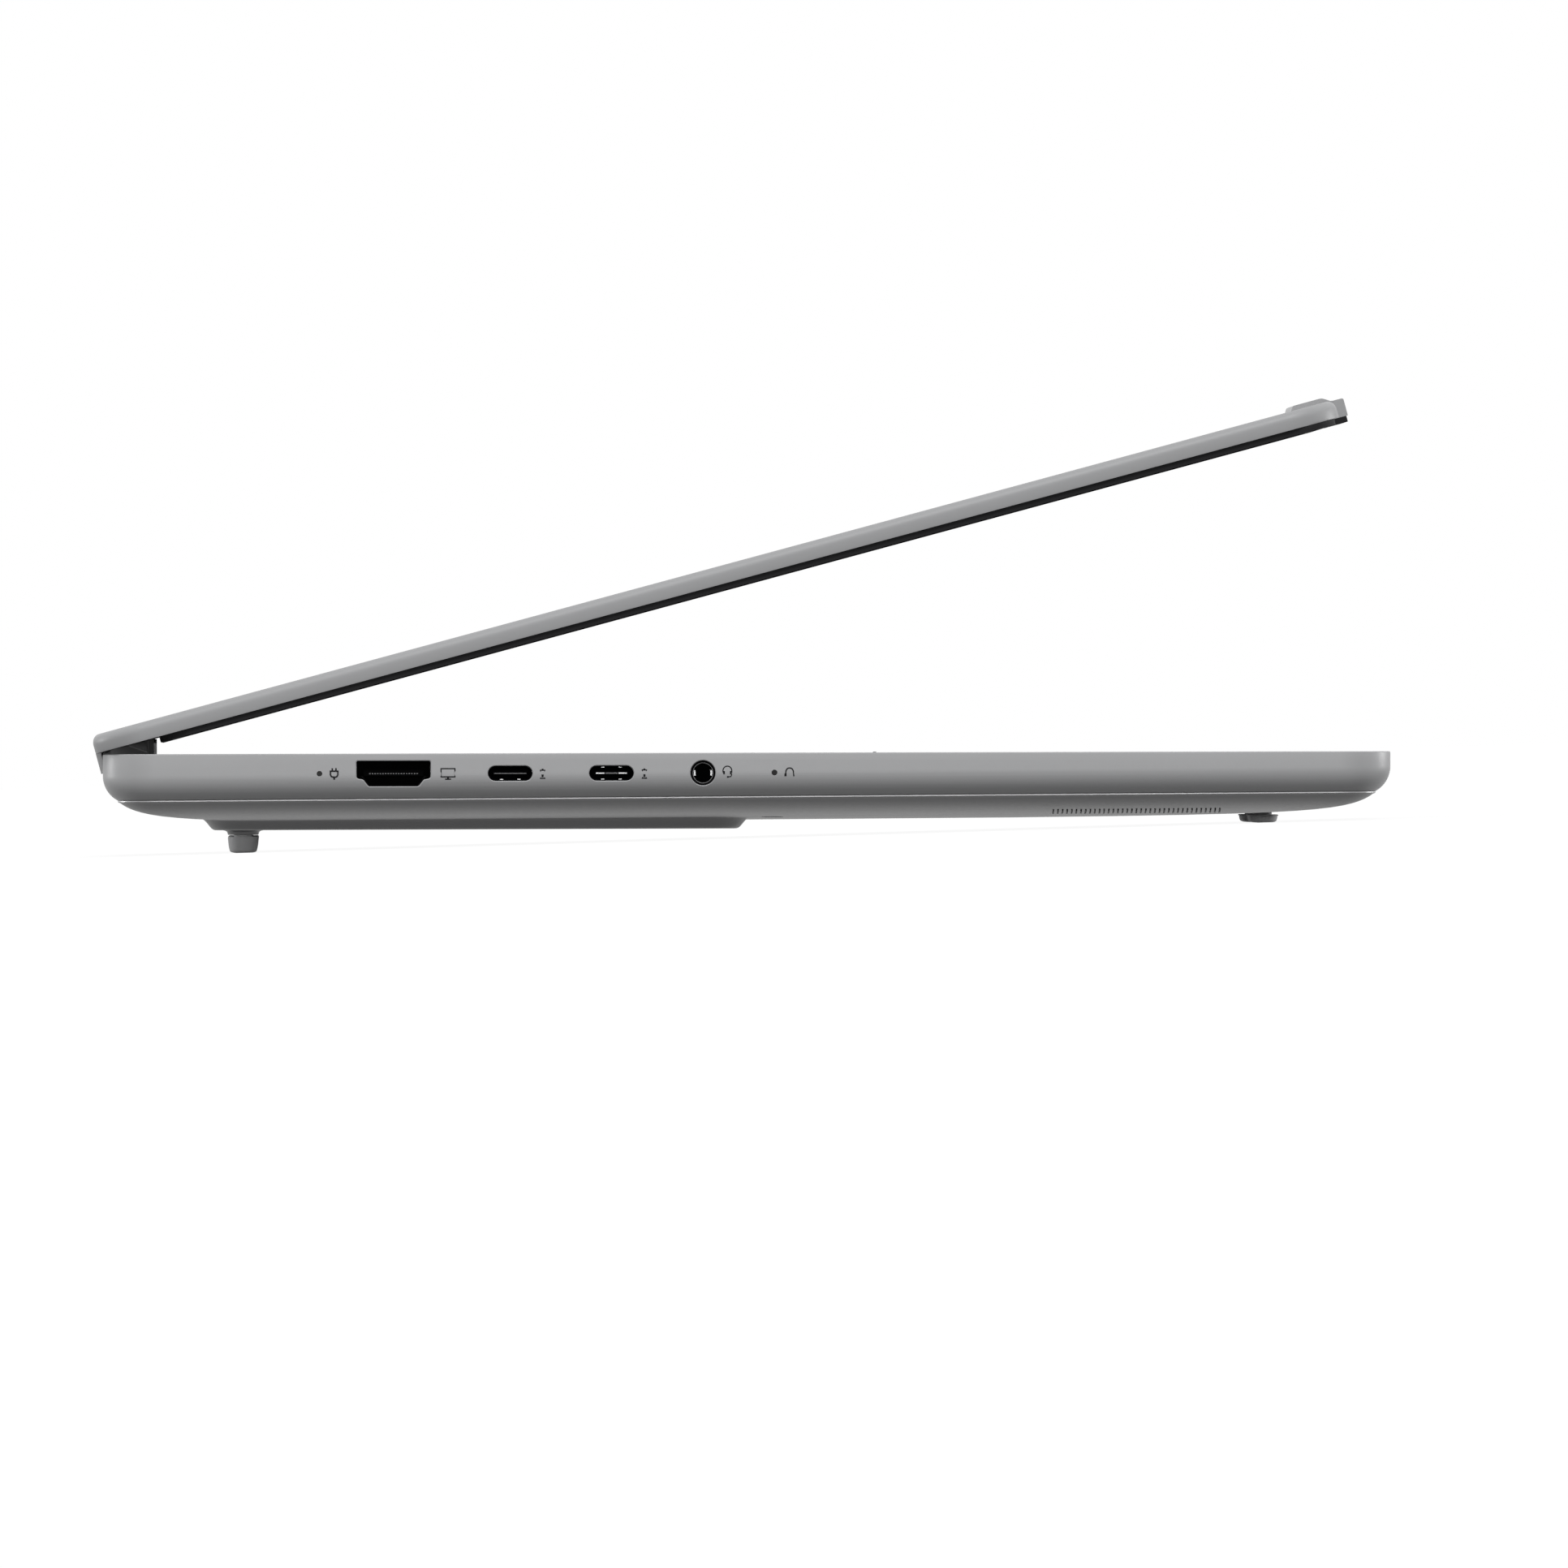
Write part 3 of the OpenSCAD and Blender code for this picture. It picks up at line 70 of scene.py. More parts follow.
def posed(angle):
    # a drawing frame in the scene, turned about the lid's pin
    return Matrix.Translation(pinAt) @ Matrix.Rotation(angle, 4, "X") @ toPin


deckPose = posed(lean)
lidPose = posed(lean - radians(case["lidOpen"]))


def inScene(name, data):
    made = bpy.data.objects.new(name, data)
    bpy.context.scene.collection.objects.link(made)
    return made


def makeCamera():
    view = {
        "lens": 1700.0, "sensor": 36.0,
        "frameWidth": 305.0,          # what the frame spans at the near side wall, in mm
        "eye": (90.0, -1.0),          # depth and height at which the eye looks straight across
        "centre": (-7.2, -6.1),       # deck frame point in the middle of the frame
        "roll": 1.69, "sightEnd": 100.0,
    }
    distance = view["frameWidth"] * view["lens"] / view["sensor"]
    eye = deckPose @ Vector((-halfWidth - distance, *view["eye"]))
    aim = deckPose @ Vector((-halfWidth, *view["centre"]))
    forward = (aim - eye).normalized()
    roll = radians(view["roll"])
    up = Vector((0, -sin(roll), cos(roll)))
    right = forward.cross(up).normalized()
    up = right.cross(forward)
    camera = inScene("sideCamera", bpy.data.cameras.new("sideCamera"))
    camera.data.lens = view["lens"]
    camera.data.sensor_width = view["sensor"]
    camera.data.clip_end = view["sightEnd"]
    turn = Matrix((right, up, -forward)).transposed()
    camera.matrix_world = Matrix.Translation(eye) @ turn.to_4x4()
    bpy.context.scene.camera = camera


def put(nodes, kind, **settings):
    # adds a node; a setting with a capital is a socket's value, any other the node's own
    made = nodes.new(kind)
    for name, value in settings.items():
        if name[0].isupper():
            made.inputs[name].default_value = value
        else:
            setattr(made, name, value)
    return made


def wire(links, *runs):
    # each run is a node, its output, the next node and its input
    for source, output, target, entry in runs:
        links.new(source.outputs[output], target.inputs[entry])


def chain(links, *run):
    # joins the first output of each node to the first input of the next
    for source, target in zip(run, run[1:]):
        links.new(source.outputs[0], target.inputs[0])


def emptyNodes(owner, outputKind):
    # clears a world's or a material's nodes and gives it an output
    owner.use_nodes = True
    nodes, links = owner.node_tree.nodes, owner.node_tree.links
    nodes.clear()
    return nodes, links, nodes.new(outputKind)


def chooseByRay(nodes, links, lighting, seen, output):
    # the camera, reflections and glass meet the seen shader, and all else the lighting one
    path = nodes.new("ShaderNodeLightPath")
    first = put(nodes, "ShaderNodeMath", operation="MAXIMUM")
    second = put(nodes, "ShaderNodeMath", operation="MAXIMUM")
    mix = nodes.new("ShaderNodeMixShader")
    wire(links, (path, "Is Camera Ray", first, 0), (path, "Is Glossy Ray", first, 1),
         (first, 0, second, 0), (path, "Is Transmission Ray", second, 1), (second, 0, mix, 0),
         (lighting, 0, mix, 1), (seen, 0, mix, 2), (mix, 0, output, 0))


def makeStage():
    light = {
        "worldFill": 0.6, "fillColour": (0.97, 0.985, 1, 1), "floorReach": 45.0,
        "floorGrey": 0.07, "floorGlow": 0.93,
    }
    # strength, height above the floor, turn from the left side towards the front, softness
    suns = {
        "overhead": (0.3, 62.0, -40.0, 40.0),
        "side": (1.8, 52.0, 0.0, 20.0),
        "low": (0.42, 1.0, 0.0, 1.5),
        "rearEdge": (1.1, 4.0, -114.0, 12.0),
        "frontEdge": (1.55, 4.0, 114.0, 12.0),
    }
    world = bpy.data.worlds.new("paleRoom")
    bpy.context.scene.world = world
    nodes, links, output = emptyNodes(world, "ShaderNodeOutputWorld")
    white = put(nodes, "ShaderNodeBackground", Color=(1, 1, 1, 1))
    fill = put(nodes, "ShaderNodeBackground", Color=light["fillColour"],
               Strength=light["worldFill"])
    chooseByRay(nodes, links, fill, white, output)

    floorMesh = bpy.data.meshes.new("floor")
    reach = light["floorReach"]
    corners = [(-reach, -reach, 0), (reach, -reach, 0), (reach, reach, 0), (-reach, reach, 0)]
    floorMesh.from_pydata(corners, [], [(0, 1, 2, 3)])
    floor = inScene("floor", floorMesh)
    material = bpy.data.materials.new("paleFloor")
    nodes, links, output = emptyNodes(material, "ShaderNodeOutputMaterial")
    paint = put(nodes, "ShaderNodeBsdfDiffuse", Color=(light["floorGrey"],) * 3 + (1,))
    glow = put(nodes, "ShaderNodeEmission", Strength=light["floorGlow"])
    both = nodes.new("ShaderNodeAddShader")
    wire(links, (paint, 0, both, 0), (glow, 0, both, 1))
    chooseByRay(nodes, links, paint, both, output)
    floorMesh.materials.append(material)

    for name, (energy, height, turn, soft) in suns.items():
        lamp = bpy.data.lights.new(name, "SUN")
        lamp.energy = energy
        lamp.angle = radians(soft)
        holder = inScene(name, lamp)
        height, turn = radians(height), radians(turn)
        towards = Vector((-cos(turn) * cos(height), -sin(turn) * cos(height),
                          sin(height)))
        holder.rotation_euler = towards.to_track_quat("Z", "Y").to_euler()
    bpy.context.scene.view_settings.view_transform = "Standard"


makeCamera()
makeStage()
print("camera, floor and light made")


def newFinish(name, colour, roughness, gloss, metallic, grainSize=0.25, grainDepth=0.01,
              mottle=0.04, coat=0.0):
    # broad tone variation and fine grain; grain size and depth are in millimetres
    grain = {"broadScale": 45, "roughnessSpread": 0.05, "bumpStrength": 0.3}
    material = bpy.data.materials.new(name)
    material.use_nodes = True
    nodes, links = material.node_tree.nodes, material.node_tree.links
    surface = nodes["Principled BSDF"]
    surface.inputs["Metallic"].default_value = metallic
    surface.inputs["Coat Weight"].default_value = coat
    surface.inputs["Specular IOR Level"].default_value = gloss
    place = nodes.new("ShaderNodeTexCoord")
    broad = put(nodes, "ShaderNodeTexNoise", Scale=grain["broadScale"], Detail=4)
    dark, pale = [tuple(min(c * part, 1) for c in colour) + (1,)
                  for part in (1 - mottle, 1 + mottle)]
    tone = put(nodes, "ShaderNodeMix", data_type="RGBA", A=dark, B=pale)
    fine = put(nodes, "ShaderNodeTexNoise", Scale=1000 / grainSize, Detail=2)
    limits = {"To Min": max(roughness - grain["roughnessSpread"], 0.02),
              "To Max": min(roughness + grain["roughnessSpread"], 1)}
    spread = put(nodes, "ShaderNodeMapRange", **limits)
    wire(links, (place, "Object", broad, "Vector"), (broad, "Fac", tone, "Factor"),
         (tone, "Result", surface, "Base Color"), (place, "Object", fine, "Vector"),
         (fine, "Fac", spread, "Value"), (spread, "Result", surface, "Roughness"))
    if grainDepth:
        bump = put(nodes, "ShaderNodeBump", Strength=grain["bumpStrength"],
                   Distance=grainDepth * 0.001)
        wire(links, (fine, "Fac", bump, "Height"), (bump, "Normal", surface, "Normal"))
    return material


# after its name and colour: roughness, gloss, metallic, grain size, grain depth, mottle, coat
finish = {
    "caseMetal": ("greyAnodisedCase", (0.37, 0.37, 0.374), 0.42, 0.15, 0.03, 0.9, 0.0, 0.02),
    "lidMetal": ("greyAnodisedLid", (0.32, 0.32, 0.324), 0.42, 0.12, 0.03, 0.9, 0.0, 0.02),
    # the cover's dark grey, darker than the case's metal, is painted shade for the base's
    # underside
    "coverShadeMetal": ("darkAnodisedCover", (0.15, 0.15, 0.152), 0.44, 0.5, 0.08, 0.9, 0.0, 0.02),
    # pale colour for the seam edge: a painted highlight, far brighter than the cover it belongs to
    "seamHighlight": ("brightSeam", (0.60, 0.60, 0.604), 0.4, 0.3, 0.2, 0.9, 0.0),
    "blackPlastic": ("blackPlastic", (0.010, 0.010, 0.011), 0.5, 0.5, 0.0, 0.3, 0.004),
    "greyPlastic": ("greyPlastic", (0.12, 0.12, 0.122), 0.5, 0.5, 0.0, 0.4, 0.003),
    # the nose is painted darker than the bar: painted shade that holds down the front lamp's light
    # on it
    "nosePlastic": ("barNosePlastic", (0.045, 0.045, 0.046), 0.6, 0.2, 0.0, 0.4, 0.003),
    "skirtPaint": ("skirtPaint", (0.40, 0.40, 0.404), 0.42, 0.5, 0.05, 0.6, 0.001),
    "keyPlastic": ("softTouchKeys", (0.035, 0.036, 0.039), 0.52, 0.25, 0.0, 0.22, 0.004),
    "legendInk": ("legendInk", (0.62, 0.63, 0.65), 0.5, 0.5, 0.0, 0.3, 0.0),
    "markInk": ("markInk", (0.012, 0.012, 0.013), 0.7, 0.1, 0.0, 0.3, 0.0),
    "footRubber": ("greyFootRubber", (0.55, 0.55, 0.554), 0.8, 0.5, 0.0, 0.5, 0.006),
    "frontRubber": ("darkFootRubber", (0.50, 0.50, 0.505), 0.8, 0.5, 0.0, 0.5, 0.006),
    "bandRubber": ("bandRubber", (0.016, 0.016, 0.017), 0.75, 0.12, 0.0, 0.4, 0.0),
    "screen": ("darkScreenGlass", (0.004, 0.004, 0.006), 0.08, 0.22, 0.0, 2.0, 0.0, 0.1),
    "screenBorder": ("screenBorder", (0.006, 0.006, 0.007), 0.4, 0.1, 0.0, 1.0, 0.0),
    "padGlass": ("etchedPadGlass", (0.30, 0.30, 0.305), 0.36, 0.5, 0.05, 0.3, 0.0006, 0.02),
    "panel": ("panelBack", (0.05, 0.05, 0.06), 0.5, 0.5, 0.3, 0.25),
    "board": ("boardGreen", (0.012, 0.07, 0.035), 0.35, 0.5, 0.0, 1.2, 0.05, 0.3, 0.3),
    "hingeSteel": ("darkHingeSteel", (0.16, 0.16, 0.162), 0.42, 0.5, 0.6, 0.3, 0.003),
    "steel": ("rolledSteel", (0.52, 0.52, 0.53), 0.34, 0.5, 0.9, 0.3, 0.003),
    "socketMetal": ("darkSocketShell", (0.06, 0.06, 0.062), 0.4, 0.5, 0.5, 0.3, 0.002),
    # near-black with hardly any gloss: partly the sockets' dark insides, partly painted shade in
    # the openings
    "socketShadeBlack": ("blackSocketInside", (0.003, 0.003, 0.0034), 0.9, 0.05, 0.0, 0.3, 0.0),
    "contactMetal": ("brightContacts", (0.34, 0.34, 0.343), 0.35, 0.5, 0.6, 0.3, 0.0),
    "dullContacts": ("dullContacts", (0.14, 0.14, 0.142), 0.45, 0.2, 0.5, 0.3, 0.0),
    "copper": ("satinCopper", (0.62, 0.28, 0.15), 0.32, 0.5, 0.9, 0.4, 0.006, 0.12),
    "finMetal": ("brightSheet", (0.62, 0.62, 0.63), 0.3, 0.5, 0.9, 0.5, 0.003),
    "cellWrap": ("blackCellWrap", (0.018, 0.018, 0.019), 0.3, 0.5, 0.0, 1.5, 0.03, 0.2),
    "lightGuide": ("lightGuide", (0.02, 0.02, 0.02), 0.4, 0.1, 0.0, 0.5, 0.0),
}
finish = {key: newFinish(*row) for key, row in finish.items()}

nodeFinish = {
    "caseMetal": ("power_button", "keyboard_frame"),
    "skirtPaint": ("lid_skirt",),
    "greyPlastic": ("processor", "fan_housings", "camera_shutter"),
    "blackPlastic": ("left_fan", "right_fan", "left_speaker", "right_speaker", "reset_switch",
                     "power_switch", "hinge_channel", "camera_module"),
    # the sockets are painted near-black: partly their dark insides, partly painted shade in the
    # openings
    "socketShadeBlack": ("headphone_socket", "display_socket", "rear_data_socket", "front_data_socket"),
    "bandRubber": ("screen_band",),
    "screen": ("screen_glass",),
    "panel": ("display_panel",),
    "board": ("mainboard", "storage_card", "wireless_card"),
    "steel": ("touchpad_bracket", "keyboard_tray", "hinge_pins"),
    "hingeSteel": ("hinge_brackets", "hinge_leaves"),
    "socketMetal": ("wide_data_sockets", "memory_card_slot"),
    "copper": ("heat_spreader", "heat_pipes"),
    "finMetal": ("fin_stacks",),
    "cellWrap": ("battery",),
    "lightGuide": ("charge_light",),
}


def newTree(name, *entries):
    # a tree that takes and gives geometry; each other entry is a name, a type and a value
    tree = bpy.data.node_groups.new(name, "GeometryNodeTree")
    for title, kind, value in (("Geometry", "Geometry", None), *entries):
        socket = tree.interface.new_socket(title, in_out="INPUT", socket_type="NodeSocket" + kind)
        if value is not None:
            socket.default_value = value
    tree.interface.new_socket("Geometry", in_out="OUTPUT", socket_type="NodeSocketGeometry")
    return tree, tree.nodes, tree.nodes.new("NodeGroupInput"), tree.nodes.new("NodeGroupOutput")


def softenTree():
    # welds a solid's loose triangles and shades it smooth up to its real edges
    tree, nodes, entry, leave = newTree("softenEdges",
                                        ("Edge angle", "Float", radians(smoothAngle)))
    weld = put(nodes, "GeometryNodeMergeByDistance", Distance=weldGap)
    angle = nodes.new("GeometryNodeInputMeshEdgeAngle")
    blunt = put(nodes, "FunctionNodeCompare", operation="LESS_THAN")
    faces = put(nodes, "GeometryNodeSetShadeSmooth", domain="FACE")
    edges = put(nodes, "GeometryNodeSetShadeSmooth", domain="EDGE")
    chain(tree.links, entry, weld, faces, edges, leave)
    wire(tree.links, (angle, "Unsigned Angle", blunt, 0), (entry, "Edge angle", blunt, 1),
         (blunt, 0, edges, "Shade Smooth"))
    return tree


soften = softenTree()
for key, names in nodeFinish.items():
    for name in names:
        part = frame["nodes"][name]
        part.data.materials.clear()
        part.data.materials.append(finish[key])
        part.modifiers.new("softenEdges", "NODES").node_group = soften
print("finishes made")


def alongCase(y, front, rear):
    # a height that runs evenly from the case's front to its rear
    return front + (rear - front) * (y - frontY) / case["depth"]


def caseRing(inset, zFront, zRear):
    # the case's outline, drawn in by an inset
    ring = roundedRing(case["width"] - 2 * inset, case["depth"] - 2 * inset,
                       max(case["cornerRadius"] - inset, 1.0), steps=case["cornerSteps"])
    return [(x, y, alongCase(y, zFront, zRear)) for x, y, z in ring]


def roundedRing(w, d, r, at=(0, 0, 0), steps=4):
    ring = []
    for quarter in range(4):
        for i in range(steps + 1):
            a = radians(90 * (quarter + i / steps))
            ring.append((at[0] + (1 if quarter in (0, 3) else -1) * (w / 2 - r) + r * cos(a),
                         at[1] + (1 if quarter < 2 else -1) * (d / 2 - r) + r * sin(a), at[2]))
    return ring


def skin(rings, close=True):
    # closed skin over a stack of equal rings
    n = len(rings[0])
    points = [p for ring in rings for p in ring]
    faces = [[k * n + i, k * n + (i + 1) % n, (k + 1) * n + (i + 1) % n, (k + 1) * n + i]
             for k in range(len(rings) - 1) for i in range(n)]
    if close:
        faces.append(list(range(n - 1, -1, -1)))
        faces.append([(len(rings) - 1) * n + i for i in range(n)])
    return points, faces


def loopSkin(rings):
    # skin whose last ring runs on into the first
    points, faces = skin(rings, close=False)
    n, count = len(rings[0]), len(points)
    faces += [[count - n + i, count - n + (i + 1) % n, (i + 1) % n, i] for i in range(n)]
    return points, faces


def boxShape(low, high):
    ring = [(low[0], low[1]), (high[0], low[1]), (high[0], high[1]), (low[0], high[1])]
    return skin([[(x, y, low[2]) for x, y in ring], [(x, y, high[2]) for x, y in ring]])


def acrossShape(outline, x0, x1):
    # an outline in (y, z), carried across from x0 to x1
    return skin([[(x0, y, z) for y, z in outline], [(x1, y, z) for y, z in outline]])


def joined(*shapes):
    points, faces = [], []
    for shape in shapes:
        first = len(points)
        points += shape[0]
        faces += [[first + i for i in face] for face in shape[1]]
    return points, faces


def newObject(name, shape, pose=deckPose):
    mesh = bpy.data.meshes.new(name)
    mesh.from_pydata([pose @ Vector(p) for p in shape[0]], [], shape[1])
    work = bmesh.new()
    work.from_mesh(mesh)
    bmesh.ops.recalc_face_normals(work, faces=work.faces)
    work.to_mesh(mesh)
    work.free()
    return inScene(name, mesh)


def freeze(made):
    # takes what the modifiers give as the object's plain mesh
    bpy.context.view_layer.update()
    seen = made.evaluated_get(bpy.context.evaluated_depsgraph_get())
    mesh = bpy.data.meshes.new_from_object(seen)
    made.modifiers.clear()
    made.data = mesh
    return made


def carve(made, *cutters, operation="DIFFERENCE"):
    for cutter in cutters:
        step = made.modifiers.new("carve", "BOOLEAN")
        step.operation = operation
        step.solver = "EXACT"
        step.object = cutter
    freeze(made)
    for cutter in cutters:
        bpy.data.objects.remove(cutter)
    return made


def finishPiece(made, key, body, slotName, *replaced, edgeAngle=smoothAngle):
    made.data.materials.clear()
    made.data.materials.append(finish[key])
    made.data.shade_smooth()
    made.data.set_sharp_from_angle(angle=radians(edgeAngle))
    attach(made, body)
    if replaced:
        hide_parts(*replaced)
    return made


def repeatTree():
    # copies one piece onto every point of a mesh
    tree, nodes, entry, leave = newTree("pieceOnPoints", ("Piece", "Object", None),
                                        ("Size", "Float", 1.0), ("Finish", "Material", None))
    points = nodes.new("GeometryNodeMeshToPoints")
    info = nodes.new("GeometryNodeObjectInfo")
    place = nodes.new("GeometryNodeInstanceOnPoints")
    solid = nodes.new("GeometryNodeRealizeInstances")
    paint = nodes.new("GeometryNodeSetMaterial")
    chain(tree.links, entry, points, place, solid, paint, leave)
    wire(tree.links, (entry, "Piece", info, "Object"), (info, "Geometry", place, "Instance"),
         (entry, "Size", place, "Scale"), (entry, "Finish", paint, "Material"))
    return tree


pieceOnPoints = repeatTree()


def socketId(tree, name):
    return next(item.identifier for item in tree.interface.items_tree
                if item.name == name and item.in_out == "INPUT")


def repeatPiece(name, shape, places, key="blackPlastic", pose=deckPose):
    # one mesh with the shape at every place
    pattern = newObject(name + "Pattern", shape, pose.to_3x3().to_4x4())
    made = inScene(name, bpy.data.meshes.new(name))
    made.data.from_pydata([pose @ Vector(p) for p in places], [], [])
    step = made.modifiers.new("repeat", "NODES")
    step.node_group = pieceOnPoints
    step[socketId(pieceOnPoints, "Piece")] = pattern
    step[socketId(pieceOnPoints, "Size")] = 1.0
    step[socketId(pieceOnPoints, "Finish")] = finish[key]
    freeze(made)
    bpy.data.objects.remove(pattern)
    return made


def seamAt(y):
    return alongCase(y, seamFront, seamRear)


def bellyDrop(t):
    return case["belly"] * t / (t + case["bellyRun"])


def coverZ(x, y):
    inset = min(halfWidth - abs(x), rearY - y, y - frontY)
    return -seamAt(y) - bellyDrop(max(inset - seamIn, 0))


def wallIn(y, z):
    # how far the side wall has curled in at a place on it
    flat = alongCase(y, case["frontFlat"], case["rearFlat"])
    over = min(max(-z - flat, 0), case["curl"])
    return case["curl"] - sqrt(case["curl"] ** 2 - over ** 2)


sockets = {
    "drop": 3.9, "display": 56.6, "dataRear": 79.3, "dataFront": 99.0, "phones": 116.8,
    "light": 42.2, "reset": 130.7, "displaySize": (14.44, 5.0), "dataSize": (8.7, 2.95),
    "phonesRadius": 2.44, "lightRadius": 0.5, "resetRadius": 0.53, "wideRear": 62.0,
    "wideFront": 82.0, "wideSize": (13.4, 5.7), "wideLow": 0.35, "card": 108.0,
    "cardSize": (24.6, 2.6), "button": 137.5, "buttonSize": (12.0, 2.5), "mouth": 0.9,
}


def displayOutline(grow):
    # half of the opening's outline, and its mirror
    w, h = sockets["displaySize"][0] / 2 + grow, sockets["displaySize"][1] / 2 + grow
    half = [(w - 0.25, h), (w, h - 0.25), (w, -0.62), (w - 0.15, -0.85 - grow),
            (w - 0.43, -1.0 - grow), (w - 1.2, -1.12 - grow), (w - 1.45, -1.3 - grow),
            (w - 2.15, -h + 0.28), (w - 2.45, -h + 0.05), (w - 2.7, -h)]
    return half + [(-y, z) for y, z in reversed(half)]


def slotOutline(size, grow, steps=10):
    r = size[1] / 2 + grow
    half = (size[0] - size[1]) / 2
    out = []
    for side in (1, -1):
        for i in range(steps + 1):
            a = radians(side * 90 - side * 180 * i / steps)
            out.append((side * half + side * r * abs(cos(a)), r * sin(a)))
    return out


def roundOutline(r, steps=40):
    turns = [tau * i / steps for i in range(steps)]
    return [(r * cos(a), r * sin(a)) for a in turns]


def boxOutline(size, grow):
    w, h = size[0] / 2 + grow, size[1] / 2 + grow
    return [(w, h), (-w, h), (-w, -h), (w, -h)]


def atSocket(outline, fromRear, low=0.0):
    return [(rearY - fromRear + y, z - sockets["drop"] - low) for y, z in outline]


keyboard = {"pitch": 19.0, "rowPitch": 18.5, "functionPitch": 12.0, "gap": 3.2, "fromRear": 26.0}
keyboardWidth = 15 * keyboard["pitch"]
keyboardDepth = keyboard["functionPitch"] + 5 * keyboard["rowPitch"]
keyboardMid = rearY - keyboard["fromRear"] - keyboardDepth / 2
pad = {"width": 150.0, "depth": 93.0, "fromFront": 5.5, "gap": 0.3, "radius": 3.0}
padMid = frontY + pad["fromFront"] + pad["depth"] / 2


def shellRings(inset, steps=14):
    rings = []
    for i in range(steps + 1):
        a = curlEnd * i / steps
        drop = case["curl"] * sin(a)
        rings.append(caseRing(case["curl"] * (1 - cos(a)) + inset,
                              -case["frontFlat"] - drop, -case["rearFlat"] - drop))
    return rings


def wallX(y, z, proud=0.0):
    # the left side wall's outside at a place, or a little proud of it
    return -halfWidth + case["markRoom"] + wallIn(y, z) - proud


def socketCut(outlineAt, side):
    # straight cut through the wall, with a small chamfer that follows its curve
    cut = {"chamfer": 0.13, "outside": 1.0, "depth": 5.0}
    wide, narrow = outlineAt(cut["chamfer"]), outlineAt(0.0)
    rings = [[(-halfWidth - cut["outside"], y, z) for y, z in wide],
             [(wallX(y, z), y, z) for y, z in wide],
             [(wallX(y, z, -cut["chamfer"]), y, z) for y, z in narrow],
             [(-halfWidth + cut["depth"], y, z) for y, z in narrow]]
    return skin([[(-side * x, y, z) for x, y, z in ring] for ring in rings])


def barRoom():
    # the recess for the hinge bar, open to the rear and above
    reach = halfWidth - case["cheek"]
    return boxShape((-reach, rearY - case["barIn"], -30), (reach, rearY + 5, 10))


def throughRing(w, d, r, middle):
    # a rounded opening cut through the deck
    return skin([roundedRing(w, d, r, (0, middle, z)) for z in (-3, 3)])


def makeTopCase():
    top = {"edgeRadius": 0.22, "edgeSteps": 4, "flatIn": 0.6, "flatEnd": 0.9}
    tick = {"width": 6.0, "thick": 0.6, "fromFront": 98.8, "low": -0.05, "proud": 0.15}
    keysIn = {"room": 2.2, "radius": 2.5}
    room, radius = case["markRoom"], top["edgeRadius"]
    rings = [caseRing(radius + top["flatIn"], 0, 0)]
    for i in range(top["edgeSteps"] + 1):
        a = radians(90 * i / top["edgeSteps"])
        drop = -radius * (1 - cos(a))
        rings.append(caseRing(room + radius * (1 - sin(a)), drop, drop))
    rings.append(caseRing(room, top["flatEnd"] - case["frontFlat"],
                          top["flatEnd"] - case["rearFlat"]))
    rings += shellRings(room)
    shell = newObject("topCase", skin(rings))
    inner = shellRings(case["wall"])[:-1]
    inner.insert(0, caseRing(case["wall"], -case["wall"], -case["wall"]))
    inner.append(caseRing(seamIn + case["wall"] + 0.5, -seamFront - 1, -seamRear - 1))
    cuts = [
        barRoom(),
        throughRing(keyboardWidth + keysIn["room"], keyboardDepth + keysIn["room"],
                    keysIn["radius"], keyboardMid),
        throughRing(pad["width"] + 2 * pad["gap"], pad["depth"] + 2 * pad["gap"], pad["radius"],
                    padMid),
    ]
    left = [(displayOutline, "display"),
            (lambda grow: slotOutline(sockets["dataSize"], grow), "dataRear"),
            (lambda grow: slotOutline(sockets["dataSize"], grow), "dataFront"),
            (lambda grow: roundOutline(sockets["phonesRadius"] + grow), "phones"),
            (lambda grow: roundOutline(sockets["lightRadius"] + grow / 2), "light"),
            (lambda grow: roundOutline(sockets["resetRadius"] + grow / 2), "reset")]
    right = [(lambda grow: boxOutline(sockets["wideSize"], grow), "wideRear", sockets["wideLow"]),
             (lambda grow: boxOutline(sockets["wideSize"], grow), "wideFront",
              sockets["wideLow"]),
             (lambda grow: boxOutline(sockets["cardSize"], grow), "card"),
             (lambda grow: slotOutline(sockets["buttonSize"], grow), "button")]
    for side, openings in ((-1, left), (1, right)):
        for outline, name, *low in openings:
            cuts.append(socketCut(lambda grow: atSocket(outline(grow), sockets[name], *low), side))
    carve(shell, newObject("inside", skin(inner)), newObject("openings", joined(*cuts)))
    y = frontY + tick["fromFront"]
    made = newObject("touchpadTick", boxShape(
        (-tick["width"] / 2, y, tick["low"]),
        (tick["width"] / 2, y + tick["thick"], tick["proud"])))
    finishPiece(made, "caseMetal", "base", "case_metal")
    return finishPiece(shell, "caseMetal", "base", "case_metal", "top_case")


makeTopCase()
print("upper shell made")


cover = {
    "steps": (0, 0.4, 0.9, 1.5, 2.3, 3.3, 4.6, 6.2, 8.5, 11.5, 15, 20, 27, 37, 50, 70),
    "humpWidth": 300.0, "humpRear": 19.4, "humpDepth": 106.5, "humpLow": 14.9,
    "humpCorner": 8.0, "humpSteps": 5, "humpRise": 0.3, "footIn": 27.3, "footLength": 250.0,
    "footThick": 6.0, "ventPitch": 5.0, "ventSize": (2.0, 24.0), "ventCount": 13,
    "ventRows": (-14.0, 14.0), "ventCut": (-2.0, 3.0), "fanX": 104.0, "fanIn": 60.0,
    "slitPitch": 0.9, "slitSize": (12.0, 0.32), "slitCount": 37, "slitFrom": 33.0,
    "slitIn": 17.0, "slitMid": -10.5, "slitCut": (-3.0, 2.6),
}
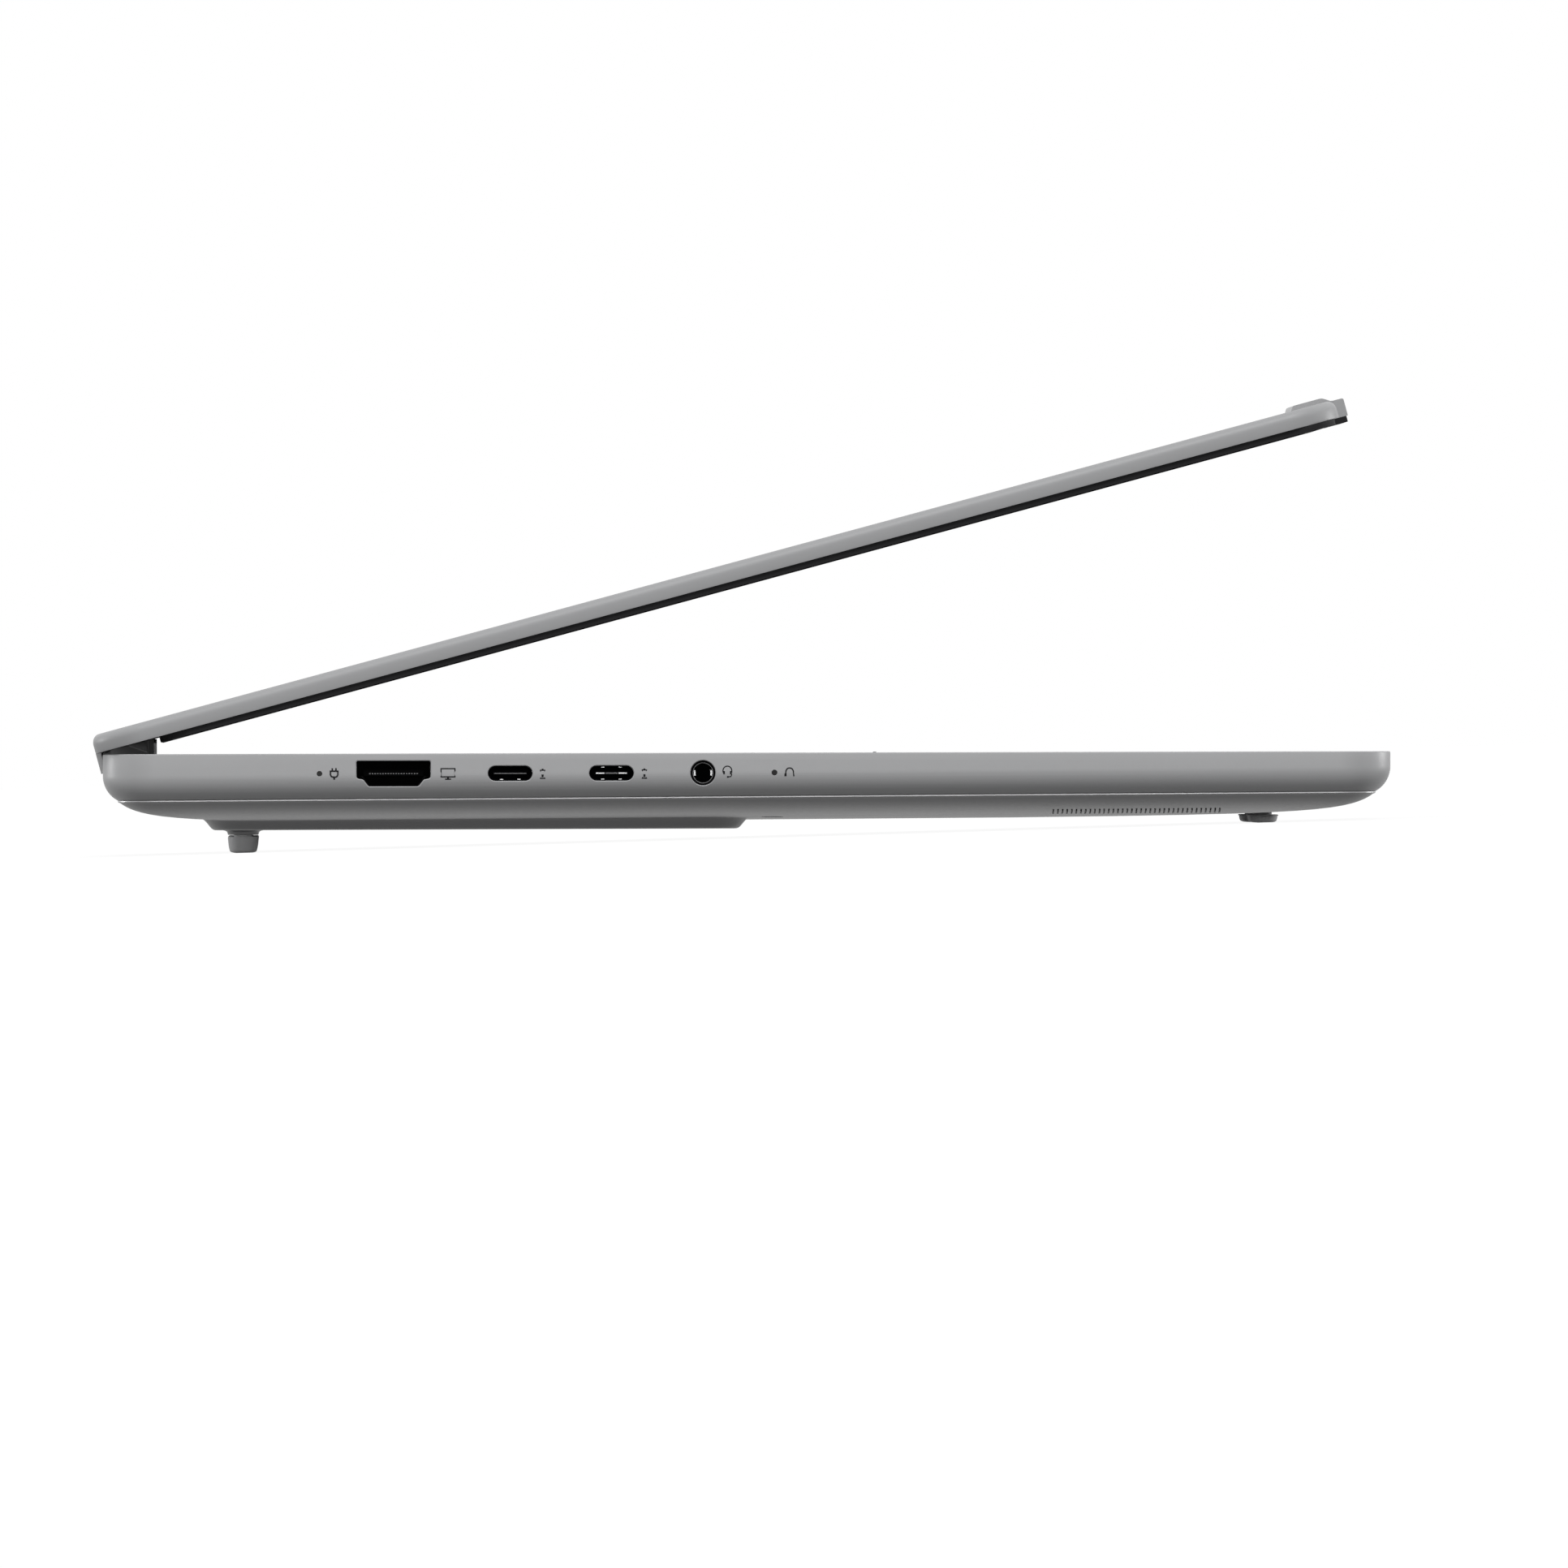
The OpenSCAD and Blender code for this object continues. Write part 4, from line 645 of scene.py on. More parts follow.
screws = {"headRadius": 2.0, "head": 0.8, "skin": 0.9, "shank": 5.0, "shankRadius": 0.9,
          "room": 1.1, "holeBelow": 2.0, "outer": 149.7, "inner": 30.0, "besidePad": 20.0,
          "rearRow": 16.4, "middle": 130.4, "frontRow": 13.0}
screwPlaces = []
for side in (-1, 1):
    screwPlaces += [(side * screws["outer"], rearY - screws["rearRow"]),
                    (side * screws["inner"], rearY - screws["rearRow"]),
                    (side * screws["outer"], rearY - screws["middle"]),
                    (side * screws["outer"], frontY + screws["frontRow"]),
                    (side * (pad["width"] / 2 + screws["besidePad"]), frontY + screws["frontRow"])]


def coverRing(t, inset, lift):
    drop = bellyDrop(t)
    return caseRing(seamIn + t + inset, -seamFront - drop + lift, -seamRear - drop + lift)


def humpUnder(y):
    # the platform's underside rises a little towards the front
    return -cover["humpLow"] + cover["humpRise"] * (rearY - y) / case["depth"]


def humpRing(out, blend):
    # blend 0 lies on the cover, 1 on the platform's underside
    middle = rearY - cover["humpRear"] - cover["humpDepth"] / 2
    ring = roundedRing(cover["humpWidth"] + 2 * out, cover["humpDepth"] + 2 * out,
                       cover["humpCorner"] + out, (0, middle, 0), cover["humpSteps"])
    return [(x, y, coverZ(x, y) * (1 - blend) + humpUnder(y) * blend) for x, y, z in ring]


def stadium(length, thick, y, z, steps=12):
    # round-ended outline that runs across the case
    ring = []
    for side in (1, -1):
        for i in range(steps + 1):
            a = radians(-90 + 180 * i / steps)
            ring.append((side * ((length - thick) / 2 + thick / 2 * cos(a)),
                         y + side * thick / 2 * sin(a), z))
    return ring


def stadiumAlong(length, thick, z, steps=6):
    # the same outline, running front to back
    return [(-y, x, z) for x, y, z in stadium(length, thick, 0, z, steps)]


def screwHoles():
    holes = []
    outline = roundOutline(screws["headRadius"] * screws["room"], 32)
    for x, y in screwPlaces:
        z = coverZ(x, y)
        holes.append(skin([[(x + px, y + py, h) for px, py in outline]
                           for h in (z - screws["holeBelow"], z + screws["skin"])]))
    return joined(*holes)


def ventCuts():
    middle = (cover["ventCount"] - 1) / 2
    places = [(side * cover["fanX"] + (i - middle) * cover["ventPitch"],
               rearY - cover["fanIn"] + row, -cover["humpLow"])
              for side in (-1, 1) for row in cover["ventRows"] for i in range(cover["ventCount"])]
    thick, length = cover["ventSize"]
    shape = skin([stadiumAlong(length, thick, z) for z in cover["ventCut"]])
    return repeatPiece("ventCuts", shape, places)


def slitCuts():
    # the sound slits, in a row along each side
    places = [(side * (halfWidth - cover["slitIn"]),
               frontY + cover["slitFrom"] + (i + 0.25) * cover["slitPitch"], cover["slitMid"])
              for side in (-1, 1) for i in range(cover["slitCount"])]
    x, y = cover["slitSize"][0] / 2, cover["slitSize"][1] / 2
    low, high = cover["slitCut"]
    return repeatPiece("slitCuts", boxShape((-x, -y, low), (x, y, high)), places)


def makeBottomCover():
    # ramp and deep are (out from the platform's outline, share of its drop), rib is (out, up)
    ramp = [(0.3, -0.2), (0.3, -0.02), (0, 0.03), (-0.3, 0.11), (-0.6, 0.23), (-0.9, 0.38),
            (-1.2, 0.55), (-1.5, 0.72), (-1.8, 0.86), (-2.1, 0.95), (-2.4, 0.99), (-2.9, 1.0)]
    rib = [(1.5, 0.3), (1.2, 0.0), (0.8, -0.05), (0.4, -0.16), (0.15, -0.35), (0.05, -0.6),
           (0, -0.85), (-0.1, -0.93)]
    deep = [(-2.5, -0.4), (-2.6, 0.1), (-5.0, 0.45)]
    seam = {"gap": 0.1, "edge": 0.2, "slope": 0.25, "out": 0.02}
    room = {"above": 2.0, "rim": 0.6, "thinner": 0.1}

    gap, wall = seam["gap"], case["wall"]
    rings = [coverRing(0, seam["slope"], -gap), coverRing(0, -seam["out"], -gap - seam["edge"])]
    rings += [coverRing(t, 0, -gap) for t in cover["steps"][1:]]
    shell = newObject("bottomCover", skin(rings))
    hump = newObject("platform", skin([humpRing(out, blend) for out, blend in ramp]))
    footY = rearY - cover["footIn"]
    ribRings = [stadium(cover["footLength"] + 2 * out, cover["footThick"] + 2 * out, footY,
                        humpUnder(footY) + up) for out, up in rib]
    carve(shell, hump, newObject("footRib", skin(ribRings)), operation="UNION")
    inside = [caseRing(seamIn + wall, room["above"] - seamFront, room["above"] - seamRear)]
    inside += [coverRing(t, wall, room["rim"] if t == 0 else wall - room["thinner"])
               for t in cover["steps"]]
    inHump = skin([humpRing(out, blend) for out, blend in deep])
    carve(shell, newObject("inside", skin(inside)), newObject("inHump", inHump),
          newObject("barRoom", barRoom()), newObject("screwHoles", screwHoles()), ventCuts(),
          slitCuts())
    # the cover's dark grey is painted shade for the underside
    finishPiece(shell, "coverShadeMetal", "base", "cover_metal", "bottom_cover")


def makeSeamEdge():
    # edge of the cover, which stands a little proud of the wall above it; its pale colour is a
    # painted highlight
    edge = {"in": 0.6, "proud": 0.1, "top": 0.03, "tall": 0.24, "slope": 0.05}
    rings = [coverRing(0, edge["in"], -edge["top"]), coverRing(0, -edge["proud"], -edge["top"]),
             coverRing(0, -edge["proud"], -edge["tall"]),
             coverRing(0, edge["in"], -edge["tall"] - edge["slope"])]
    line = newObject("seamEdge", loopSkin(rings))
    carve(line, newObject("seamBarRoom", barRoom()))
    finishPiece(line, "seamHighlight", "base", "cover_metal")


makeBottomCover()
makeSeamEdge()
print("bottom cover made")


def moved(shape, x):
    # a shape, shifted across
    return [(px + x, py, pz) for px, py, pz in shape[0]], shape[1]


def makeFeet():
    feet = {
        "rearLow": 19.3, "frontLow": 13.9, "frontIn": 23.6, "frontX": 62.0, "frontLength": 46.0,
        "frontThick": 5.8, "neck": 3.6, "frontNeck": 3.2, "neckIn": 3.0, "neckHeight": 0.3,
        "neckOver": 0.5,              # how far the neck runs up into what carries it
        "rearTop": 0.9, "frontTop": 0.27, "taper": 0.3, "sag": 0.7,
        "squash": 0.1,                # the rubber is pressed this much at the table
    }
    shoulder = [(-0.25, 0.0), (-0.06, -0.06), (0, -0.25)]
    sole = [(0.06, 0.5), (0.2, 0.34), (0.45, 0.22), (0.9, 0.11), (1.5, 0.04), (2.1, 0.01),
            (2.5, 0.0)]

    def padShape(length, thick, y, top, low):
        low -= feet["squash"]
        taper, sag = feet["taper"], feet["sag"]
        rings = [(out, top + up) for out, up in shoulder]
        rings += [(-taper / 2, low + sag + 0.8), (-taper, low + sag)]
        rings += [(-taper - back, low + up) for back, up in sole]
        return skin([stadium(length + 2 * out, thick + 2 * out, y, z) for out, z in rings])

    def neckShape(length, thick, y, top):
        return skin([stadium(length - feet["neckIn"], thick, y, z)
                     for z in (top - 0.1, top + feet["neckOver"])])

    def standOnTable(made):
        for vertex in made.data.vertices:
            vertex.co.z = max(vertex.co.z, 0.0)

    y = rearY - cover["footIn"]
    top = -cover["humpLow"] - feet["rearTop"] - feet["neckHeight"]
    rear = newObject("rearFootPad", joined(
        padShape(cover["footLength"], cover["footThick"], y, top, -feet["rearLow"]),
        neckShape(cover["footLength"], feet["neck"], y, top)))
    standOnTable(rear)
    finishPiece(rear, "footRubber", "base", "foot_rubber", "rear_foot")

    y = frontY + feet["frontIn"]
    top = coverZ(0, y) - feet["frontTop"] - feet["neckHeight"]
    shapes = []
    for x in (-feet["frontX"], feet["frontX"]):
        shapes.append(moved(padShape(feet["frontLength"], feet["frontThick"], y, top,
                                     -feet["frontLow"]), x))
        shapes.append(moved(neckShape(feet["frontLength"], feet["frontNeck"], y, top), x))
    front = newObject("frontFootPads", joined(*shapes))
    standOnTable(front)
    finishPiece(front, "frontRubber", "base", "front_rubber", "front_feet")


makeFeet()
print("feet made")


lid = {
    "top": 5.04, "low": 1.5, "skin": 0.84, "rim": 1.2, "edgeWidth": 1.6, "edgeHeight": 1.9,
    "edgeSteps": 10, "flatIn": 1.2, "bumpWidth": 96.0, "bumpRise": 1.05, "lip": 3.6,
    "bandLow": 0.3,
}


def makeLidShell():
    top, rise, low = lid["top"], lid["bumpRise"], lid["low"]
    rings = [caseRing(lid["edgeWidth"] + lid["flatIn"], top, top)]
    for i in range(lid["edgeSteps"] + 1):
        a = radians(90 * (1 - i / lid["edgeSteps"]))
        z = top - lid["edgeHeight"] * (1 - sin(a))
        rings.append(caseRing(lid["edgeWidth"] * (1 - cos(a)), z, z))
    rings += [caseRing(0, low + 0.3, low + 0.3), caseRing(0.05, low, low)]
    shell = newObject("lidShell", skin(rings), lidPose)

    # the bump as (back from the front edge, up from the lid's top), then down its lip
    crown = [(7.3, -0.2), (7.0, 0.02), (6.9, 0.15), (6.4, rise - 0.12), (6.2, rise - 0.02),
             (5.9, rise), (1.1, rise), (0.6, rise - 0.04), (0.1, rise - 0.26), (-1.0, 0.1),
             (-1.5, 0)]
    edge = frontY
    tip = frontY - lid["lip"]
    outline = [(edge + back, top + up) for back, up in crown]
    outline += [(tip + 0.3, top - 0.02), (tip + 0.08, top - 0.15), (tip, top - 0.4), (tip, low),
                (edge + 0.5, low), (edge + 0.5, top - 0.6)]
    half = lid["bumpWidth"] / 2
    bump = newObject("cameraBump", acrossShape(outline, -half, half), lidPose)
    band = lid["bandLow"]
    trim = [(tip + 0.35, band), (tip + 0.3, band + 0.1), (tip + 0.3, low), (edge + 0.25, low),
            (edge + 0.25, band)]
    trim = newObject("lipTrim", acrossShape(trim, -half, half), lidPose)
    finishPiece(trim, "bandRubber", "lid", "black_plastic", "camera_lip_trim")
    rim = lid["rim"]
    recess = [roundedRing(case["width"] - 2 * rim, case["depth"] - 2 * rim,
                          case["cornerRadius"] - rim, (0, 0, z), 8)
              for z in (low - 1, top - lid["skin"])]
    recess = newObject("recess", skin(recess), lidPose)
    carve(shell, bump, operation="UNION")
    carve(shell, recess)
    return finishPiece(shell, "lidMetal", "lid", "case_metal", "lid_shell")


makeLidShell()
print("lid made")


def makeSocketContacts():
    contact = {
        "thick": 0.3, "displayTongue": 2.0, "displayPitch": 0.51, "displayCount": 19,
        "dataTongue": 0.8, "springX": 1.7, "springUp": 1.16, "phonesIn": 1.1, "phonesX": 1.62,
    }
    mouth = -halfWidth + sockets["mouth"]
    tongue = mouth + contact["dataTongue"]

    def block(x, fromRear, up, size):
        y, z = rearY - fromRear, up - sockets["drop"]
        return boxShape((x, y - size[0] / 2, z - size[1] / 2),
                        (x + contact["thick"], y + size[0] / 2, z + size[1] / 2))

    pin = boxShape((-0.03, -0.13, -0.1), (0.1, 0.13, 0.1))
    middle = (contact["displayCount"] - 1) / 2
    places = [(mouth + contact["displayTongue"],
               rearY - sockets["display"] + (i - middle) * contact["displayPitch"],
               -sockets["drop"]) for i in range(contact["displayCount"])]
    finishPiece(repeatPiece("displayContacts", pin, places, "dullContacts"),
                "dullContacts", "base", "socket_metal")
    for name, socket, size in (("rearDataBlade", "dataRear", (6.3, 0.14)),
                               ("frontDataBlade", "dataFront", (2.4, 0.2))):
        blade = newObject(name, block(tongue - 0.02, sockets[socket], 0, size))
        finishPiece(blade, "dullContacts", "base", "socket_metal")
    bright = [block(tongue - 0.03, sockets["dataFront"] + side * 2.2, 0, (1.65, 0.24))
              for side in (-1, 1)]
    for socket, rows in (("dataRear", (-1,)), ("dataFront", (-1, 1))):
        bright += [block(mouth + 0.25, sockets[socket] + side * contact["springX"],
                         row * contact["springUp"], (0.6, 0.14))
                   for side in (-1, 1) for row in rows]
    bright += [block(mouth + contact["phonesIn"], sockets["phones"] + side * contact["phonesX"],
                     0, (0.34, 1.05)) for side in (-1, 1)]
    finishPiece(newObject("socketSprings", joined(*bright)), "contactMetal", "base",
                "socket_metal")
    section = [(0.1, 2.02), (-0.03, 2.0), (-0.03, 1.92), (0.1, 1.89)]
    rings = [[(mouth + x, y, z) for y, z in atSocket(roundOutline(r), sockets["phones"])]
             for x, r in section]
    finishPiece(newObject("phonesRing", loopSkin(rings)), "dullContacts", "base",
                "black_plastic")


makeSocketContacts()
print("socket contacts made")


def inkLine(points, width, closed):
    # a printed line that follows the side wall, through points (y, z)
    proud, under = 0.02, -0.05
    count = len(points)
    rings = []
    for i, (y, z) in enumerate(points):
        runs = []
        if closed or i:
            runs.append((Vector((y, z)) - Vector(points[i - 1])).normalized())
        if closed or i < count - 1:
            runs.append((Vector(points[(i + 1) % count]) - Vector((y, z))).normalized())
        along = (runs[0] + runs[-1]).normalized()
        side = Vector((-along.y, along.x)) * width / 2 / max(runs[0].dot(along), 0.5)
        left, right = (y + side.x, z + side.y), (y - side.x, z - side.y)
        rings.append([(wallX(*corner, lift), *corner) for corner, lift in
                      ((left, proud), (right, proud), (right, under), (left, under))])
    return loopSkin(rings) if closed else skin(rings)


def inkArc(middle, radius, start, end, steps=14):
    turns = [radians(start + (end - start) * i / steps) for i in range(steps + 1)]
    return [(middle[0] + radius * cos(a), middle[1] + radius * sin(a)) for a in turns]


def makeWallMarks():
    marks = {
        "plug": (45.05, 3.95), "screen": (67.2, 3.95), "rearBattery": (85.6, 3.95),
        "frontBattery": (105.4, 3.95), "headset": (121.55, 3.55), "restart": (133.65, 3.75),
    }

    def box(w, h, low):
        return [(-w / 2, low), (w / 2, low), (w / 2, low + h), (-w / 2, low + h)]

    plug = [(-0.72, 0.55), (0.72, 0.55), (0.72, -0.15), (0.55, -0.48), (0.25, -0.6),
            (-0.25, -0.6), (-0.55, -0.48), (-0.72, -0.15)]
    band = [(-0.85, -0.3)] + inkArc((0, 0.1), 0.85, 180, 0) + [(0.85, -0.3)]
    boom = [(0.8, -0.5)] + inkArc((0.45, -0.75), 0.36, 0, -90, 6) + [(0.1, -1.15)]
    turn = [(-0.8, -0.45)] + inkArc((0, 0.05), 0.72, 172, 8) + [(0.82, -0.85)]
    # each line: its mark, its points (front, up), its width, and True where it closes
    lines = [("plug", plug, 0.3, True)]
    lines += [("plug", [(side, 0.6), (side, 1.15)], 0.3) for side in (-0.36, 0.36)]
    lines += [
        ("plug", [(0, -0.6), (0, -1.1)], 0.36),
        ("screen", box(2.7, 1.6, -0.6), 0.24, True),
        ("screen", [(0, -0.6), (0, -1.0)], 0.36),
        ("screen", [(-0.6, -1.05), (0.6, -1.05)], 0.24),
    ]
    for mark in ("rearBattery", "frontBattery"):
        lines += [(mark, box(0.85, 1.6, -0.95), 0.21, True),
                  (mark, [(-0.18, 0.82), (0.18, 0.82)], 0.24),
                  (mark, [(-0.2, -0.45), (0.2, -0.45)], 0.55)]
    lines.append(("headset", band, 0.22))
    lines += [("headset", [(x, 0.0), (x, -0.65)], 0.34) for x in (-0.66, 0.66)]
    lines += [
        ("headset", boom, 0.2),
        ("headset", [(0.24, -1.15), (-0.08, -1.15)], 0.32),
        ("restart", turn, 0.25),
        ("restart", [(-0.8, -0.3), (-0.8, -0.85)], 0.42),
    ]
    shapes = []
    for mark, points, width, *closed in lines:
        fromRear, drop = marks[mark]
        placed = [(rearY - fromRear - x, y - drop) for x, y in points]
        shapes.append(inkLine(placed, width, bool(closed)))
    finishPiece(newObject("wallMarks", joined(*shapes)), "markInk", "base", "case_metal")


makeWallMarks()
print("wall marks made")

keyRows = [
    [15 / 16] * 16,
    [1] * 13 + [2],
    [1.5] + [1] * 12 + [1.5],
    [1.75] + [1] * 11 + [2.25],
    [2.25] + [1] * 10 + [2.75],
    [1.25, 1, 1, 1.25, 5.5, 1, 1, 1, 1, 1],
]
keyNames = [
    ["esc"] + ["f" + str(i) for i in range(1, 13)] + ["home", "end", "del"],
    list("`1234567890-=") + ["back"],
    ["tab"] + list("QWERTYUIOP[]\\"),
    ["caps"] + list("ASDFGHJKL;'") + ["enter"],
    ["shift"] + list("ZXCVBNM,./") + ["shift"],
    ["ctrl", "fn", "sys", "alt", "", "alt", "ctrl"],
]
keySets = {
    "function_keys": (0, 0, 15), "number_keys": (1, 0, 12), "backspace_key": (1, 13, 13),
    "tab_key": (2, 0, 0), "upper_letter_keys": (2, 1, 13), "caps_lock_key": (3, 0, 0),
    "middle_letter_keys": (3, 1, 11), "enter_key": (3, 12, 12), "left_shift_key": (4, 0, 0),
    "lower_letter_keys": (4, 1, 10), "right_shift_key": (4, 11, 11), "modifier_keys": (5, 0, 6),
    "space_bar": (5, 4, 4),
}
caps = {
    "top": -0.15, "thick": 1.5, "radius": 1.6, "edge": 0.32, "dish": 0.2, "stem": 4.0,
    "stemLow": -2.9, "letterSize": 3.3, "wordSize": 2.5, "inkLift": 0.015,
    "dishSteps": (0.14, 0.26, 0.42, 0.62, 0.84), "leastRadius": 0.35, "arrowGap": 0.8,
    "legendIn": 2.3, "legendBack": 2.2, "legendFront": 2.6, "wideFrom": 18.0, "edgeAngle": 40,
}


def capAt(row, i):
    # middle and size of one cap
    start = sum(keyRows[row][:i])
    depth = keyboard["functionPitch"] if row == 0 else keyboard["rowPitch"]
    fromRear = depth / 2 if row == 0 else keyboard["functionPitch"] + (row - 0.5) * depth
    return (-keyboardWidth / 2 + (start + keyRows[row][i] / 2) * keyboard["pitch"],
            rearY - keyboard["fromRear"] - fromRear,
            keyRows[row][i] * keyboard["pitch"] - keyboard["gap"], depth - keyboard["gap"])


def arrowCaps():
    # half-deep caps: left, up, down, right
    made = []
    for i, up in ((7, -1), (8, 1), (8, -1), (9, -1)):
        x, y, w, d = capAt(5, i)
        half = d / 2 - caps["arrowGap"] / 2
        made.append((x, y + up * (d - half) / 2, w, half))
    return made


def dishAt(w, d, x, y):
    # how far the cap's top has sunk at a place on it
    middle = min(w, d) / 2
    inset = min(w / 2 - abs(x), d / 2 - abs(y), middle)
    return -caps["dish"] * (1 - (1 - max(inset, 0) / middle) ** 2)


def capShape(w, d):
    thick, edge = caps["thick"], caps["edge"]
    rings = [(0.12, -thick), (0, -thick + 0.15), (0, -edge - 0.1)]
    for i in range(1, 4):
        a = radians(30 * i)
        rings.append((edge * (1 - cos(a)), -edge * (1 - sin(a)) - 0.02))
    middle = min(w, d) / 2
    rings += [(middle * part, dishAt(w, d, w / 2 - middle * part, 0))
              for part in caps["dishSteps"]]
    cap = skin([roundedRing(w - 2 * inset, d - 2 * inset,
                            max(caps["radius"] - inset, caps["leastRadius"]), (0, 0, z), 4)
                for inset, z in rings])
    half = caps["stem"] / 2
    stem = boxShape((-half, -half, caps["stemLow"] - caps["top"]), (half, half, -thick + 0.05))
    return joined(cap, stem)


def capsPiece(name, places):
    # equal caps are one pattern on points; the groups are then one mesh
    groups = {}
    for x, y, w, d in places:
        groups.setdefault((round(w, 3), round(d, 3)), []).append((x, y, caps["top"]))
    return mergePieces([repeatPiece(name, capShape(*size), spots, "keyPlastic")
                        for size, spots in groups.items()])


def mergePieces(parts):
    work = bmesh.new()
    for part in parts:
        work.from_mesh(part.data)
    work.to_mesh(parts[0].data)
    work.free()
    for part in parts[1:]:
        bpy.data.objects.remove(part)
    return parts[0]


def textShape(text, size):
    # a short text as a thin solid, in millimetres, starting at its lower left
    curve = bpy.data.curves.new("legend", "FONT")
    curve.body = text
    curve.size = size
    curve.extrude = 0.02
    curve.resolution_u = 3
    letter = inScene("legend", curve)
    bpy.context.view_layer.update()
    seen = letter.evaluated_get(bpy.context.evaluated_depsgraph_get())
    mesh = bpy.data.meshes.new_from_object(seen)
    shape = [tuple(v.co) for v in mesh.vertices], [list(f.vertices) for f in mesh.polygons]
    bpy.data.objects.remove(letter)
    bpy.data.curves.remove(curve)
    bpy.data.meshes.remove(mesh)
    return shape


def legendOn(place, text, size):
    # a letter stands in the cap's rear left corner, a word in its middle or, on a wide cap,
    # in its front left corner
    x, y, w, d = place
    points, faces = textShape(text, size)
    letter, wideCap = len(text) == 1, w > caps["wideFrom"]
    left = -w / 2 + caps["legendIn"] if letter or wideCap else -max(p[0] for p in points) / 2
    base = -size * 0.3
    if letter:
        base = d / 2 - caps["legendBack"] - size * 0.75
    elif wideCap:
        base = -d / 2 + caps["legendFront"]
    placed = []
    for px, py, pz in points:
        fx, fy = left + px, base + py
        placed.append((x + fx, y + fy,
                       caps["top"] + dishAt(w, d, fx, fy) + caps["inkLift"] + pz - 0.01))
    return placed, faces


def arrowMark(place, turn):
    # a small triangle in the middle of a cap
    corners = [radians(turn) + radians(t) for t in (0, 130, 230)]
    z = caps["top"] - caps["dish"]
    return skin([[(place[0] + cos(a), place[1] + sin(a), z + h) for a in corners]
                 for h in (-0.03, 0.03)])


def camel(name):
    first, *rest = name.split("_")
    return first + "".join(word.capitalize() for word in rest)


def makeKeys():
    for node, (row, first, last) in keySets.items():
        indexes = [i for i in range(first, last + 1) if node == "space_bar" or (row, i) != (5, 4)]
        places = [capAt(row, i) for i in indexes]
        made = capsPiece(camel(node) + "Caps", places)
        finishPiece(made, "keyPlastic", node, "key_plastic", node, edgeAngle=caps["edgeAngle"])
        texts = [(place, keyNames[row][i]) for place, i in zip(places, indexes)
                 if keyNames[row][i]]
        if texts:
            shapes = [legendOn(place, text, caps["letterSize" if len(text) == 1 else "wordSize"])
                      for place, text in texts]
            finishPiece(newObject(camel(node) + "Legends", joined(*shapes)), "legendInk", node,
                        "key_plastic")
    arrows = arrowCaps()
    finishPiece(capsPiece("arrowKeysCaps", arrows), "keyPlastic", "arrow_keys", "key_plastic",
                "arrow_keys", edgeAngle=caps["edgeAngle"])
    shapes = [arrowMark(place, turn) for place, turn in zip(arrows, (180, 90, 270, 0))]
    finishPiece(newObject("arrowKeysLegends", joined(*shapes)), "legendInk", "arrow_keys",
                "key_plastic")


makeKeys()
print("keys made")


def makeTouchpad():
    profile = [(0.3, -0.06), (0.1, -0.09), (0.02, -0.18), (0, -0.3), (0, -1.15)]
    radius = pad["radius"] - pad["gap"]
    rings = [roundedRing(pad["width"] - 2 * inset, pad["depth"] - 2 * inset, radius,
                         (0, padMid, z), 8) for inset, z in profile]
    plate = newObject("touchpadPlate", skin(rings))
    finishPiece(plate, "padGlass", "touchpad", "pad_glass", "touchpad")


def makeCoverScrews():
    # a countersunk head with a six-lobed recess, drawn head down
    head = {"sides": 36, "recess": 0.85, "lobe": 0.14, "recessDepth": 0.5, "chamfer": 0.2,
            "tip": 0.3}
    turns = [tau * i / head["sides"] for i in range(head["sides"])]

    def ring(r, z, lobe=0.0):
        return [(r * (1 + lobe * cos(6 * a)) * cos(a),
                 r * (1 + lobe * cos(6 * a)) * sin(a), z) for a in turns]

    r, thick, chamfer = screws["headRadius"], screws["head"], head["chamfer"]
    shank, end = screws["shankRadius"], screws["shank"]
    recess, lobe = head["recess"], head["lobe"]
    shape = skin([ring(shank * 0.8, end), ring(shank, end - head["tip"]), ring(shank, 0),
                  ring(r, 0), ring(r, -thick + chamfer), ring(r - chamfer, -thick),
                  ring(recess + 0.05, -thick, lobe), ring(recess, -thick + 0.08, lobe),
                  ring(recess * 0.9, -thick + head["recessDepth"], lobe)])
    places = [(x, y, coverZ(x, y) + screws["skin"]) for x, y in screwPlaces]
    finishPiece(repeatPiece("coverScrewSet", shape, places, "steel"), "steel", "base", "steel",
                "cover_screws")


def cadCopy(name, node):
    # the solid's own shape as a welded mesh
    made = inScene(name, frame["nodes"][node].data.copy())
    work = bmesh.new()
    work.from_mesh(made.data)
    bmesh.ops.remove_doubles(work, verts=work.verts, dist=weldGap)
    work.to_mesh(made.data)
    work.free()
    return made


